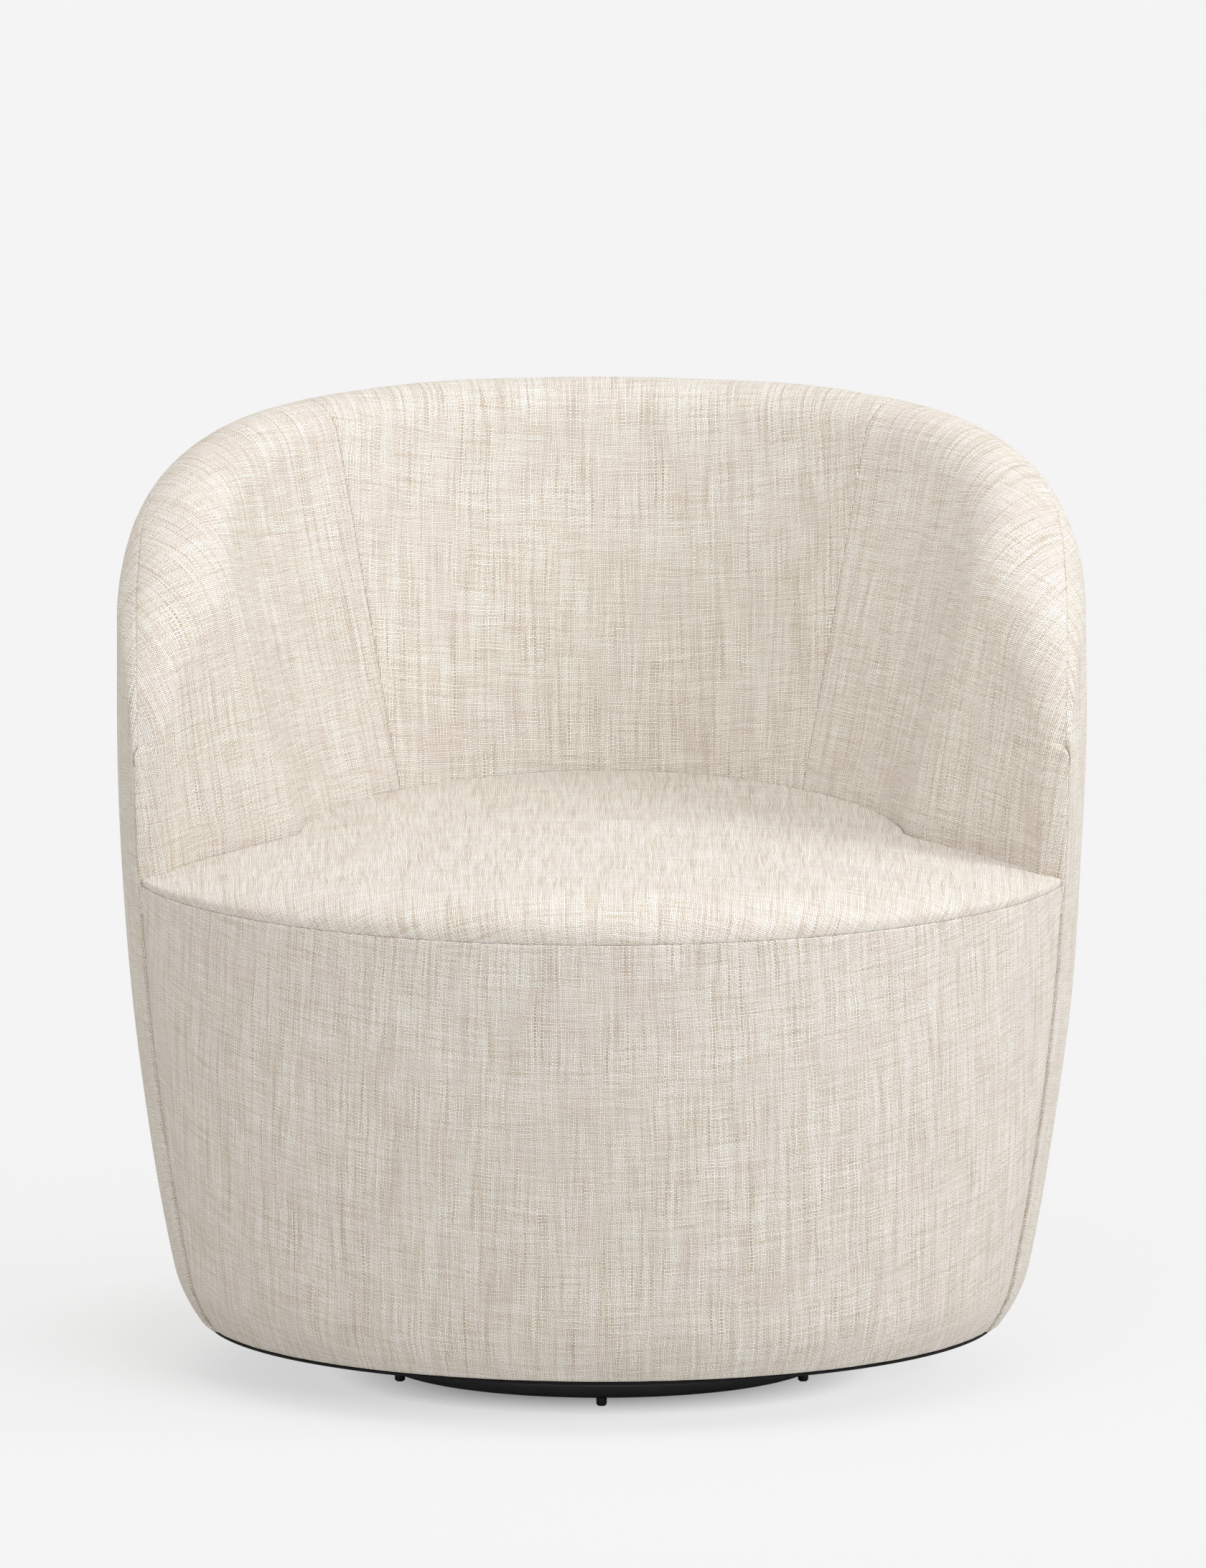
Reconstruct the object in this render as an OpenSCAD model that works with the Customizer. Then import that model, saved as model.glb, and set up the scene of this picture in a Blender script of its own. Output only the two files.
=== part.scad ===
// Swivel barrel chair: a rounded back and two arms wrap one tight seat, and the
// upholstered shell turns on a ball bearing above a round tube base.
// Lengths are in millimetres. Up is +Z, the front faces -Y, and the origin lies
// on the floor under the swivel. Angles round the chair start at the front and
// run towards +X.

/* [Shell] */
// Widest diameter of the shell
barrel_d = 810; // [770:5:850]
// Height of the top of the back at its middle
back_h = 779; // [740:1:820]
// Height of the top of the arms at their front
arm_h = 672; // [640:1:700]
// Height at which the shell is widest
widest_h = 600; // [560:5:640]
// How far the slow curve of the shell draws in from its widest height to its rim
belly_in = 58; // [45:0.5:66]
// Radius that draws the shell in at its rim
rim_round_r = 95; // [80:1:120]
// Height over which the rim is drawn in
rim_round_h = 48; // [30:1:54]
// Angle from the front to the front edge of each arm
front_edge_a = 75.5; // [73:0.5:79]
// Angle over which the wall behind that edge fills out
nose_span_a = 18; // [16:0.5:20]
// Thickness of the wall at the front edge
nose_t = 24; // [22:0.5:28]
// Drop of the arm's rounded front corner
corner_drop = 80; // [60:1:95]
// Angle over which that corner is rounded
corner_a = 10; // [8:0.5:12]
// Thickness of the wall beside the seat
seat_wall = 152; // [144:1:165]
// Distance from the widest radius to the inside of the back at its top
top_wall = 65.6; // [60:0.2:75]
// Angle from the front to the seams inside the back
corner_seam_a = 138.5; // [134:0.5:142]
// Angle up the rounded top to the seam of the outer cover
seam_a = 50; // [40:1:60]

/* [Seat] */
// Height of the seam under the front of the seat
seat_h = 427; // [422:1:436]
// Height of the seat's edge above that seam
seam_lip = 6; // [5.5:0.5:9]
// Rise of the crowned seat above its edge
crown_h = 32; // [20:1:40]
// Distance over which the crown rises behind the front seam
crown_run = 60; // [45:1:80]
// Height above the seam at which the inside starts to lean out
lean_rise = 34; // [24:1:48]

/* [Padding] */
// Thickness of the covers with their thin lining
cover_t = 4; // [3:0.5:4.5]
// Step of the front band behind the outer cover
band_inset = 3; // [2:0.5:4]
// Thickness of the foam on the inside faces
pad_t = 38; // [30:1:40]
// Thickness of the boards that close the frame
skin_t = 3; // [2:0.5:3.5]

/* [Frame] */
// Thickness of the plywood
board_t = 18; // [15:1:19]
// Side of the square top rail
rail_side = 26; // [22:1:26]
// Drop from the front seam to the top face of the seat deck
deck_drop = 25; // [23:1:31]
// Drop from the seat deck to the ledge that carries the deck ring
ledge_drop = 62; // [52:1:77]
// How far the deck ring lies outside the hollow
deck_out = 47; // [37:1:51]
// Width of the deck ring
deck_w = 40; // [36:1:44]
// Number of seat springs
springs = 5; // [3:1:5]
// Diameter of the spring wire
wire_d = 3.6; // [3:0.2:4]

/* [Base] */
// Diameter of the base ring through the middle of its tube
base_d = 354; // [330:2:420]
// Outer diameter of the tube
tube_d = 22; // [20:0.5:26]
// Wall of the tube
tube_wall = 1.5; // [1.2:0.1:2.5]
// Number of glides and of arms on the base plate
glides_n = 5; // [4:1:6]
// Diameter of a glide
glide_d = 8.8; // [8:0.2:12]
// Height of a glide under the tube
glide_h = 6.6; // [5:0.2:10]
// Thickness of the base plate and its arms
spider_t = 5; // [4:0.5:6]
// Width of an arm between the plate and the ring
spider_w = 36; // [28:1:44]

/* [Swivel] */
// Diameter of the bearing plates
plate_d = 190; // [184:2:210]
// Thickness of the bearing plates
plate_t = 3; // [2.5:0.5:4]
// Space between the two bearing plates
swivel_gap = 19.2; // [16:0.1:21]
// Diameter of the circle through the ball centres
race_d = 134; // [124:2:140]
// Diameter of a ball
ball_d = 8; // [7:0.5:9]
// Number of balls
balls_n = 18; // [12:1:22]
// Diameter of the king pin
king_d = 12; // [10:1:14]
// Diameter of the bolts
bolt_d = 6; // [5:0.5:6.5]

/* [Hidden] */
$fn = 72;

// Colours
linen = [0.80, 0.76, 0.69];
black_tube = [0.15, 0.15, 0.16];
black_cloth = [0.08, 0.08, 0.08];
zinc = [0.62, 0.63, 0.65];
steel = [0.45, 0.46, 0.48];
plywood = [0.76, 0.60, 0.40];
fibreboard = [0.52, 0.39, 0.27];
foam = [0.93, 0.89, 0.74];
nylon = [0.30, 0.30, 0.32];

// Clearances
over = 1;         // reach of a cut past the face that it opens
slip = 0.05;      // round pieces in their holes
fit_gap = 0.3;    // rigid pieces that lie side by side
soft_gap = 0.6;   // soft pieces and their neighbours
rib_gap = 1.3;    // ribs behind the curved boards

// Places that follow from the shell and the seat
seat_r = barrel_d / 2 - seat_wall;
lean_h = seat_h + lean_rise;
lean_slope = (barrel_d / 2 - top_wall - seat_r) / (back_h - lean_h);
deck_h = seat_h - deck_drop;
ledge_h = deck_h - ledge_drop;
deck_r = seat_r + deck_out;

// Heights of the base and the swivel
ring_z = glide_h + tube_d / 2;
spider_z = ring_z - spider_t / 2;
lower_z = spider_z + spider_t;
ball_z = lower_z + plate_t + swivel_gap / 2;
upper_z = lower_z + plate_t + swivel_gap;
rim_h = upper_z + plate_t;
board_top = rim_h + board_t;

// Swivel details
base_plate_d = plate_d + 2 * spider_t;
race_w = 14;
cage_t = 2.8;
ring_gap = 1.8;   // half the space between the two race rings
cage_hole_gap = 0.2;
plate_bolt_r = 85;
bearing_bolts_n = 4;
bolt_head_d = 10.4;
bolt_head_h = 4;
nut_across_share = 1.9;
nut_h_share = 0.75;
king_head_h = 7.5;
washer_t = 2;
washer_d = 24;
thread_past = 2;
king_well_r = 20;
tnut_flange_d = 18;
tnut_flange_t = 1.5;
tnut_barrel_d = 9;
tnut_barrel_h = 11;
stem_d = 5.8;
stem_h = 6;
glide_round = 1.4;

// Frame details
dust_t = 2;
dust_edge = 4;
foot_in = 50;     // how far the ribs' feet reach inside the deck ring
foot_r = deck_r - foot_in;
foot_h = 20;
foot_taper_h = 30;
ledge_w = deck_w - 10;
ledge_r = deck_r + deck_w - ledge_w;
slot_r = deck_r + deck_w + over;
screw_in = 35;    // from the end of a rib's foot to its screw
screw_ring_r = foot_r + screw_in;
screw_d = 4.4;
screw_head_d = 9;
screw_head_h = 3.6;
screw_len = 44;
front_rail_h = 17;
rib_nose_share = 0.45;
front_rib_a = [18, 50];
spring_rail_w = 28;
spring_in = 20;   // how far the spring rails lie inside the deck ring
spring_span = 2 * (deck_r - spring_in);
spring_pitch_share = 0.125;
spring_pitch_x = spring_span * spring_pitch_share;
spring_turns = 14;
spring_bar = 18;
spring_steps = 4;
spring_sides = 6;
clip_wall = 1.35;
clip_w = 16;
clip_foot = 12;
cloth_t = 1.5;

// Form of the shell
belly_power = 2.2;
nose_power = 1.6;
crest_power = 2.4;
core_r = 19;
core_share = 0.55;
pad_share = 0.45;
arm_end_a = front_edge_a + corner_a;
nose_end_a = front_edge_a + nose_span_a;
tuck_h = deck_h + 2 * soft_gap;
side_depth = cover_t + soft_gap + skin_t + rib_gap;
front_depth = band_inset + cover_t + skin_t + 2 * fit_gap;

// Stations round the shell and up its walls
nose_shares = [0, 0.04, 0.1, 0.2, 0.32, rib_nose_share, 0.6, 0.78, 1];
arm_steps = 5;
back_steps = 8;
front_steps = 12;
rim_shares = [0, 0.25, 0.55, 1];
side_shares = [0.14, 0.3, 0.46, 0.62, 0.8, 1];
seam_steps = 4;
roll_steps = 7;
pad_ramp_share = 0.25;
face_shares = [pad_ramp_share, 0.5, 0.75, 1];
skin_top_share = 0.1;
seat_shares = [0.3, 0.6, 0.86, 0.94, 0.98, 1];
closed_stations = 2;

function clamp(v) = max(0, min(1, v));
function mix(p, q, s) = p + (q - p) * s;
function turned(a) = abs((a + 180) % 360 - 180);
function arc_a(length, radius) = length / radius * 180 / PI;
function place(a, p) = [p[0] * sin(a), -p[0] * cos(a), p[1]];
function round_in(u) = sqrt(1 - pow(1 - u, 2));

// Outer radius of the shell at height z
function belly(z) = belly_in * pow(abs(z - widest_h) / (widest_h - rim_h), belly_power);
function rim_in(z) =
    let (d = max(0, rim_h + rim_round_h - z))
    rim_round_r - sqrt(pow(rim_round_r, 2) - pow(d, 2));
function shell_r(z) = barrel_d / 2 - belly(z) - rim_in(z);

// Inner face: full depth behind the nose of each arm, thin at its front edge
function nose_fill(a) =
    1 - pow(1 - clamp((turned(a) - front_edge_a) / nose_span_a), nose_power);
function lean(a) = atan(lean_slope * nose_fill(a));
function hollow_r(z) = seat_r + max(0, z - lean_h) * lean_slope;
function face_r(a, z) = mix(shell_r(z) - nose_t, hollow_r(z), nose_fill(a));
function wall_t(a, z) = shell_r(z) - face_r(a, z);

// Top line, and the round of the wall under it: [centre radius, height, radius]
function crest_h(a) =
    let (
        t = turned(a),
        fall = pow((1 + cos(t)) / (1 + cos(arm_end_a)), crest_power),
        u = clamp((arm_end_a - t) / corner_a)
    )
    back_h - (back_h - arm_h) * fall - corner_drop * (1 - sqrt(1 - pow(u, 2)));
function half_wall(a, z) = wall_t(a, z) * cos(lean(a)) / (1 + cos(lean(a)));
function roll(a) =
    let (
        top = crest_h(a),
        first = half_wall(a, top - nose_t),
        second = half_wall(a, top - first),
        r = half_wall(a, top - second)
    )
    [shell_r(top - r) - r, top - r, r];
function roll_pt(w, b, depth) =
    [w[0] + (w[2] - depth) * cos(b), w[1] + (w[2] - depth) * sin(b)];
function face_top(a) = let (w = roll(a)) w[1] + w[2] * sin(lean(a));
function face_z(a, share) = mix(face_top(a), lean_h, share);
function core(a) = min(core_r, core_share * roll(a)[2]);

// Depth of the padding on the inside face at height z: it changes from what the
// core of the round top leaves to the full padding
function pad_depth(a, z) =
    let (
        w = roll(a),
        at_core = w[2] - core(a),
        first_z = w[1] + core(a) * sin(lean(a)),
        full = min(cover_t + soft_gap + pad_t, pad_share * wall_t(a, z), at_core)
    )
    mix(at_core, full, clamp((first_z - z) / (first_z - face_z(a, pad_ramp_share))));
function face_pt(a, z, depth) = [face_r(a, z) + depth / cos(lean(a)), z];

// Rows of heights up the outside, from the rim to the start of the round top
function side_rows(a) = concat(
    [for (s = rim_shares) rim_h + mix(fit_gap, rim_round_h, s)],
    [for (s = side_shares) mix(rim_h + rim_round_h, roll(a)[1], s)]);

// Lists of stations
arm_stations = concat(
    [for (s = nose_shares) front_edge_a + s * nose_span_a],
    [for (i = [1:arm_steps]) mix(nose_end_a, corner_seam_a, i / arm_steps)]);
back_stations = [for (i = [0:back_steps])
    mix(corner_seam_a, 360 - corner_seam_a, i / back_steps)];
function inner_of(list) = [for (i = [1:len(list) - 2]) list[i]];
function mirrored(list) = [for (i = [len(list) - 1:-1:0]) 360 - list[i]];
function from_index(list, first) = [for (i = [first:len(list) - 1]) list[i]];
shell_stations = concat(arm_stations, inner_of(back_stations), mirrored(arm_stations));
arm_rib_a = arm_stations[len(nose_shares) + 1];
back_rib_a = back_stations[2];
arm_front_a = front_edge_a + rib_nose_share * nose_span_a;

// A skin between two grids of points, grid[station][row]
module skin_between(outer, inner) {
    n = len(outer);
    m = len(outer[0]);
    function o(i, j) = i * m + j;
    function q(i, j) = n * m + i * m + j;
    points = concat([for (row = outer) for (p = row) p], [for (row = inner) for (p = row) p]);
    sheets = [for (i = [0:n - 2]) for (j = [0:m - 2]) each [
        [o(i, j), o(i, j + 1), o(i + 1, j + 1)],
        [o(i, j), o(i + 1, j + 1), o(i + 1, j)],
        [q(i, j), q(i + 1, j + 1), q(i, j + 1)],
        [q(i, j), q(i + 1, j), q(i + 1, j + 1)]]];
    rims = [for (i = [0:n - 2]) each [
        [o(i, 0), o(i + 1, 0), q(i + 1, 0)],
        [o(i, 0), q(i + 1, 0), q(i, 0)],
        [o(i + 1, m - 1), o(i, m - 1), q(i, m - 1)],
        [o(i + 1, m - 1), q(i, m - 1), q(i + 1, m - 1)]]];
    ends = [for (j = [0:m - 2]) each [
        [o(0, j + 1), o(0, j), q(0, j)],
        [o(0, j + 1), q(0, j), q(0, j + 1)],
        [o(n - 1, j), o(n - 1, j + 1), q(n - 1, j + 1)],
        [o(n - 1, j), q(n - 1, j + 1), q(n - 1, j)]]];
    polyhedron(points, concat(sheets, rims, ends));
}

// A closed body from rings of points that run out from one pole and back to another
module domed(first, rings, last) {
    n = len(rings[0]);
    m = len(rings);
    function id(i, k) = 1 + k * n + i % n;
    points = concat([first], [for (ring = rings) for (p = ring) p], [last]);
    caps = [for (i = [0:n - 1]) each [
        [0, id(i + 1, 0), id(i, 0)],
        [1 + n * m, id(i, m - 1), id(i + 1, m - 1)]]];
    bands = [for (i = [0:n - 1]) for (k = [0:m - 2]) each [
        [id(i, k), id(i + 1, k), id(i + 1, k + 1)],
        [id(i, k), id(i + 1, k + 1), id(i, k + 1)]]];
    polyhedron(points, concat(caps, bands));
}

// Turns what points along +X to the angle a round the chair
module at(a) {
    rotate([0, 0, a - 90]) children();
}

module around(n, first = 0) {
    for (i = [0:n - 1]) at(first + i * 360 / n) children();
}

module both_sides() {
    children();
    mirror([1, 0, 0]) children();
}

// A revolved wall from angle -a to a, from its outline of [radius, height]
module front_arc(a, outline) {
    at(-a) rotate_extrude(angle = 2 * a) polygon(outline);
}

/* Base */

module base_ring() {
    color(black_tube) difference() {
        rotate_extrude() translate([base_d / 2, ring_z]) difference() {
            circle(d = tube_d);
            circle(d = tube_d - 2 * tube_wall);
        }
        around(glides_n) translate([base_d / 2, 0, 0])
            cylinder(d = stem_d + 2 * slip, h = ring_z);
    }
}

module base_plate() {
    color(black_tube) difference() {
        translate([0, 0, spider_z]) cylinder(d = base_plate_d, h = spider_t);
        translate([0, 0, spider_z - over])
            cylinder(d = king_d + 2 * slip, h = spider_t + 2 * over);
        around(glides_n, 180 / glides_n) translate([plate_bolt_r, 0, spider_z - over])
            cylinder(d = bolt_d + 2 * slip, h = spider_t + 2 * over);
    }
}

// Flat bars welded between the plate and the ring
module base_arms() {
    color(black_tube) around(glides_n) difference() {
        intersection() {
            translate([0, -spider_w / 2, spider_z]) cube([base_d / 2, spider_w, spider_t]);
            cylinder(d = base_d - tube_d, h = rim_h);
        }
        cylinder(d = base_plate_d, h = rim_h);
    }
}

module glides() {
    color(nylon) around(glides_n) translate([base_d / 2, 0, 0]) {
        translate([0, 0, glide_round])
            cylinder(d = glide_d, h = glide_h - glide_round);
        cylinder(d1 = glide_d - 2 * glide_round, d2 = glide_d, h = glide_round);
        translate([0, 0, glide_h]) cylinder(d = stem_d, h = stem_h);
    }
}

// One bearing plate with its race ring, drawn face up from z = 0
module race_plate() {
    difference() {
        union() {
            cylinder(d = plate_d, h = plate_t);
            translate([0, 0, plate_t])
                cylinder(d = race_d + race_w, h = swivel_gap / 2 - ring_gap);
        }
        translate([0, 0, plate_t])
            cylinder(d = race_d - race_w, h = swivel_gap);
        rotate_extrude() translate([race_d / 2, plate_t + swivel_gap / 2])
            circle(d = ball_d + 2 * slip);
        translate([0, 0, -over]) cylinder(d = king_d + 2 * slip, h = plate_t + 2 * over);
    }
}

module lower_race() {
    color(zinc) difference() {
        translate([0, 0, lower_z]) race_plate();
        around(glides_n, 180 / glides_n) translate([plate_bolt_r, 0, lower_z - over])
            cylinder(d = bolt_d + 2 * slip, h = plate_t + 2 * over);
    }
}

module upper_race() {
    color(zinc) difference() {
        translate([0, 0, rim_h]) mirror([0, 0, 1]) race_plate();
        around(bearing_bolts_n, 180 / bearing_bolts_n)
            translate([plate_bolt_r, 0, upper_z - over])
                cylinder(d = bolt_d + 2 * slip, h = plate_t + 2 * over);
    }
}

module king_pin() {
    nut_top = rim_h + slip + washer_t + king_d * nut_h_share;
    color(steel) {
        translate([0, 0, spider_z - king_head_h])
            cylinder(d = king_d * nut_across_share, h = king_head_h, $fn = 6);
        translate([0, 0, spider_z])
            cylinder(d = king_d, h = nut_top + thread_past - spider_z);
    }
}

module king_washer() {
    color(zinc) translate([0, 0, rim_h + slip]) difference() {
        cylinder(d = washer_d, h = washer_t);
        translate([0, 0, -over]) cylinder(d = king_d + 2 * slip, h = washer_t + 2 * over);
    }
}

// A hexagon nut with its bore, drawn up from z = 0
module hex_nut(d) {
    difference() {
        cylinder(d = d * nut_across_share, h = d * nut_h_share, $fn = 6);
        translate([0, 0, -over]) cylinder(d = d + 2 * slip, h = d * nut_h_share + 2 * over);
    }
}

module king_nut() {
    color(zinc) translate([0, 0, rim_h + slip + washer_t]) hex_nut(king_d);
}

module base_bolts() {
    nut_base = spider_z - bolt_d * nut_h_share;
    color(zinc) around(glides_n, 180 / glides_n) translate([plate_bolt_r, 0, 0]) {
        translate([0, 0, lower_z + plate_t]) cylinder(d = bolt_head_d, h = bolt_head_h);
        translate([0, 0, nut_base - thread_past])
            cylinder(d = bolt_d, h = lower_z + plate_t - nut_base + thread_past);
    }
}

module base_nuts() {
    color(zinc) around(glides_n, 180 / glides_n)
        translate([plate_bolt_r, 0, spider_z - bolt_d * nut_h_share]) hex_nut(bolt_d);
}

module ball_cage() {
    color(nylon) difference() {
        translate([0, 0, ball_z - cage_t / 2]) difference() {
            cylinder(d = race_d + race_w, h = cage_t);
            translate([0, 0, -over]) cylinder(d = race_d - race_w, h = cage_t + 2 * over);
        }
        around(balls_n) translate([race_d / 2, 0, ball_z - cage_t])
            cylinder(d = ball_d + 2 * cage_hole_gap, h = 2 * cage_t);
    }
}

module bearing_balls() {
    color(steel) around(balls_n) translate([race_d / 2, 0, ball_z]) sphere(d = ball_d);
}

/* Frame */

module bearing_bolts() {
    color(zinc) around(bearing_bolts_n, 180 / bearing_bolts_n)
        translate([plate_bolt_r, 0, 0]) {
            translate([0, 0, upper_z - bolt_head_h])
                cylinder(d = bolt_head_d, h = bolt_head_h);
            translate([0, 0, upper_z])
                cylinder(d = bolt_d, h = plate_t + board_t + tnut_flange_t + thread_past);
        }
}

module t_nuts() {
    color(zinc) around(bearing_bolts_n, 180 / bearing_bolts_n)
        translate([plate_bolt_r, 0, board_top]) difference() {
            union() {
                cylinder(d = tnut_flange_d, h = tnut_flange_t);
                translate([0, 0, -tnut_barrel_h]) cylinder(d = tnut_barrel_d, h = tnut_barrel_h);
            }
            translate([0, 0, -tnut_barrel_h - over])
                cylinder(d = bolt_d + 2 * slip, h = tnut_barrel_h + tnut_flange_t + 2 * over);
        }
}

module dust_cover() {
    color(black_cloth) translate([0, 0, rim_h - dust_t]) difference() {
        cylinder(r = shell_r(rim_h) - dust_edge, h = dust_t);
        translate([0, 0, -over]) cylinder(d = plate_d + 2 * over, h = dust_t + 2 * over);
    }
}

// Angles of the upright ribs
rib_angles = concat(
    [for (a = front_rib_a) each [a, 360 - a]],
    [for (a = [arm_front_a, arm_rib_a, corner_seam_a, back_rib_a]) each [a, 360 - a]]);

module bottom_board() {
    color(plywood) difference() {
        translate([0, 0, rim_h])
            cylinder(r = shell_r(rim_h) - front_depth, h = board_t);
        translate([0, 0, rim_h - over]) cylinder(r = king_well_r, h = board_t + 2 * over);
        around(bearing_bolts_n, 180 / bearing_bolts_n) translate([plate_bolt_r, 0, 0]) {
            translate([0, 0, rim_h - over])
                cylinder(d = bolt_d + 2 * slip, h = board_t + 2 * over);
            translate([0, 0, board_top - tnut_barrel_h])
                cylinder(d = tnut_barrel_d + 2 * slip, h = tnut_barrel_h + over);
        }
        for (a = rib_angles) at(a) translate([screw_ring_r, 0, rim_h]) {
            cylinder(d = screw_d + 2 * slip, h = board_t + over);
            cylinder(d1 = screw_head_d + 2 * slip, d2 = screw_d + 2 * slip, h = screw_head_h);
        }
    }
}

module frame_screws() {
    color(zinc) for (a = rib_angles) at(a) translate([screw_ring_r, 0, rim_h]) {
        cylinder(d1 = screw_head_d, d2 = screw_d, h = screw_head_h);
        cylinder(d = screw_d, h = screw_len);
    }
}

// The foot of a rib and the ledge for the deck ring, from the slot down
rib_foot = [
    [slot_r, ledge_h], [ledge_r, ledge_h],
    [ledge_r, board_top + foot_h + foot_taper_h],
    [foot_r, board_top + foot_h], [foot_r, board_top]
];

module rib(a, outline) {
    at(a) difference() {
        translate([0, board_t / 2, 0]) rotate([90, 0, 0])
            linear_extrude(board_t) polygon(outline);
        translate([screw_ring_r, 0, board_top - over])
            cylinder(d = screw_d + 2 * slip, h = screw_len);
    }
}

// A rib at station a whose inner edge follows the wall at angle inside_a
module wall_rib(a, inside_a) {
    spread = arc_a(board_t / 2, seat_r + nose_t);
    top = min(roll(a - spread)[1], roll(a + spread)[1]) - rail_side / 2 - rib_gap;
    out_z = [for (z = side_rows(a)) if (z > board_top && z < top) z];
    in_z = [for (s = face_shares) if (face_z(inside_a, s) < top) face_z(inside_a, s)];
    lining = soft_gap + skin_t + rib_gap;
    outside = [for (z = concat([board_top], out_z, [top])) [shell_r(z) - side_depth, z]];
    inside = [for (z = concat([top], in_z, [tuck_h]))
        face_pt(inside_a, z, pad_depth(inside_a, z) + lining)];
    rib(a, concat(outside, inside, [[slot_r, tuck_h]], rib_foot));
}

module front_ribs() {
    top = deck_h - front_rail_h;
    out_z = [for (z = side_rows(front_edge_a)) if (z > board_top && z < top) z];
    outside = [for (z = concat([board_top], out_z, [top]))
        [shell_r(z) - front_depth - fit_gap, z]];
    color(plywood) for (a = front_rib_a) both_sides()
        rib(a, concat(outside, [[slot_r, top]], rib_foot));
}

module arm_front_ribs() {
    front_face_a = arm_front_a - arc_a(board_t / 2, shell_r(arm_h) - wall_t(arm_front_a, lean_h));
    color(plywood) both_sides() wall_rib(arm_front_a, front_face_a);
}

module arm_ribs() {
    color(plywood) both_sides() wall_rib(arm_rib_a, arm_rib_a);
}

module corner_ribs() {
    color(plywood) both_sides() wall_rib(corner_seam_a, corner_seam_a);
}

module back_ribs() {
    color(plywood) both_sides() wall_rib(back_rib_a, back_rib_a);
}

module deck_ring() {
    color(plywood) translate([0, 0, ledge_h]) difference() {
        cylinder(r = deck_r + deck_w, h = board_t);
        translate([0, 0, -over]) cylinder(r = deck_r, h = board_t + 2 * over);
    }
}

module front_rail() {
    bottom = deck_h - front_rail_h;
    outside = shell_r(bottom) - front_depth;
    end_a = arm_front_a - arc_a(board_t / 2 + fit_gap, slot_r);
    color(plywood) front_arc(end_a, [
        [slot_r, bottom], [outside, bottom], [outside, deck_h], [slot_r, deck_h]]);
}

// A square bar that follows the middle of the round top
module top_rail() {
    stations = from_index(arm_stations, 5);
    loop = concat(stations, inner_of(back_stations), mirrored(stations));
    corners = [[1, -1], [1, 1], [-1, 1], [-1, -1]] * rail_side / 2;
    rings = [for (a = loop) let (w = roll(a)) [for (c = corners)
        place(a, [w[0] + c[0], w[1] + c[1]])]];
    n = len(rings);
    function id(i, k) = i * 4 + k % 4;
    sides = [for (i = [0:n - 2]) for (k = [0:3]) each [
        [id(i, k), id(i, k + 1), id(i + 1, k + 1)],
        [id(i, k), id(i + 1, k + 1), id(i + 1, k)]]];
    ends = [[0, 3, 2, 1], [id(n - 1, 0), id(n - 1, 1), id(n - 1, 2), id(n - 1, 3)]];
    color(plywood) polyhedron([for (ring = rings) for (p = ring) p], concat(sides, ends));
}

module outer_skin() {
    first = cover_t + soft_gap;
    stations = [for (a = shell_stations) if (turned(a) > arm_stations[2]) a];
    function path(a, depth) = [for (z = side_rows(a))
        place(a, [shell_r(z) - depth, min(z, roll(a)[1] - soft_gap)])];
    color(fibreboard) skin_between(
        [for (a = stations) path(a, first)],
        [for (a = stations) path(a, first + skin_t)]);
}

module front_skin() {
    first = band_inset + cover_t + fit_gap;
    rows = concat([for (z = side_rows(front_edge_a)) if (z < deck_h) z], [seat_h - soft_gap]);
    end_a = front_edge_a - arc_a(cover_t, seat_r);
    outside = [for (z = rows) [shell_r(z) - first, z]];
    inside = [for (i = [len(rows) - 1:-1:0]) [shell_r(rows[i]) - first - skin_t, rows[i]]];
    color(fibreboard) front_arc(end_a, concat(outside, inside));
}

module inner_skin() {
    stations = [for (a = shell_stations) if (turned(a) > arm_stations[3]) a];
    function path(a, depth) = [for (z = concat(
            [for (s = concat([skin_top_share], face_shares)) face_z(a, s)], [tuck_h]))
        place(a, face_pt(a, z, pad_depth(a, z) + soft_gap + depth))];
    color(fibreboard) skin_between(
        [for (a = stations) path(a, 0)],
        [for (a = stations) path(a, skin_t)]);
}

/* Springs and deck */

clip_r = wire_d / 2 + slip + clip_wall;
spring_z = deck_h - clip_r;
spring_rows = [for (i = [0:springs - 1]) (i - (springs - 1) / 2) * spring_pitch_x];

module spring_rails() {
    h = deck_h - 2 * clip_r - ledge_h - board_t;
    reach = (spring_span + spring_rail_w) / 2;
    length = 2 * sqrt(pow(slot_r, 2) - pow(reach, 2)) - 2 * fit_gap;
    color(plywood) for (side = [-1, 1])
        translate([0, side * spring_span / 2, ledge_h + board_t + h / 2])
            cube([length, spring_rail_w, h], center = true);
}

// One sinuous spring: half loops left and right, joined by straight bars, as
// [x, y, heading] along the wire and a tube swept along them
spring_path = concat(
    [[-spring_bar / 2, -spring_span / 2, 0]],
    [for (i = [0:spring_turns - 1]) for (k = [0:spring_steps])
        let (
            pitch = spring_span / spring_turns,
            side = i % 2 == 0 ? 1 : -1,
            turn = 180 * k / spring_steps
        )
        [side * (spring_bar / 2 + pitch / 2 * sin(turn)),
            (i + 1 / 2) * pitch - spring_span / 2 - pitch / 2 * cos(turn),
            side > 0 ? turn : 180 - turn]],
    [[(spring_turns % 2 == 0 ? 1 : -1) * spring_bar / 2, spring_span / 2,
        spring_turns % 2 == 0 ? 0 : 180]]);

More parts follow.
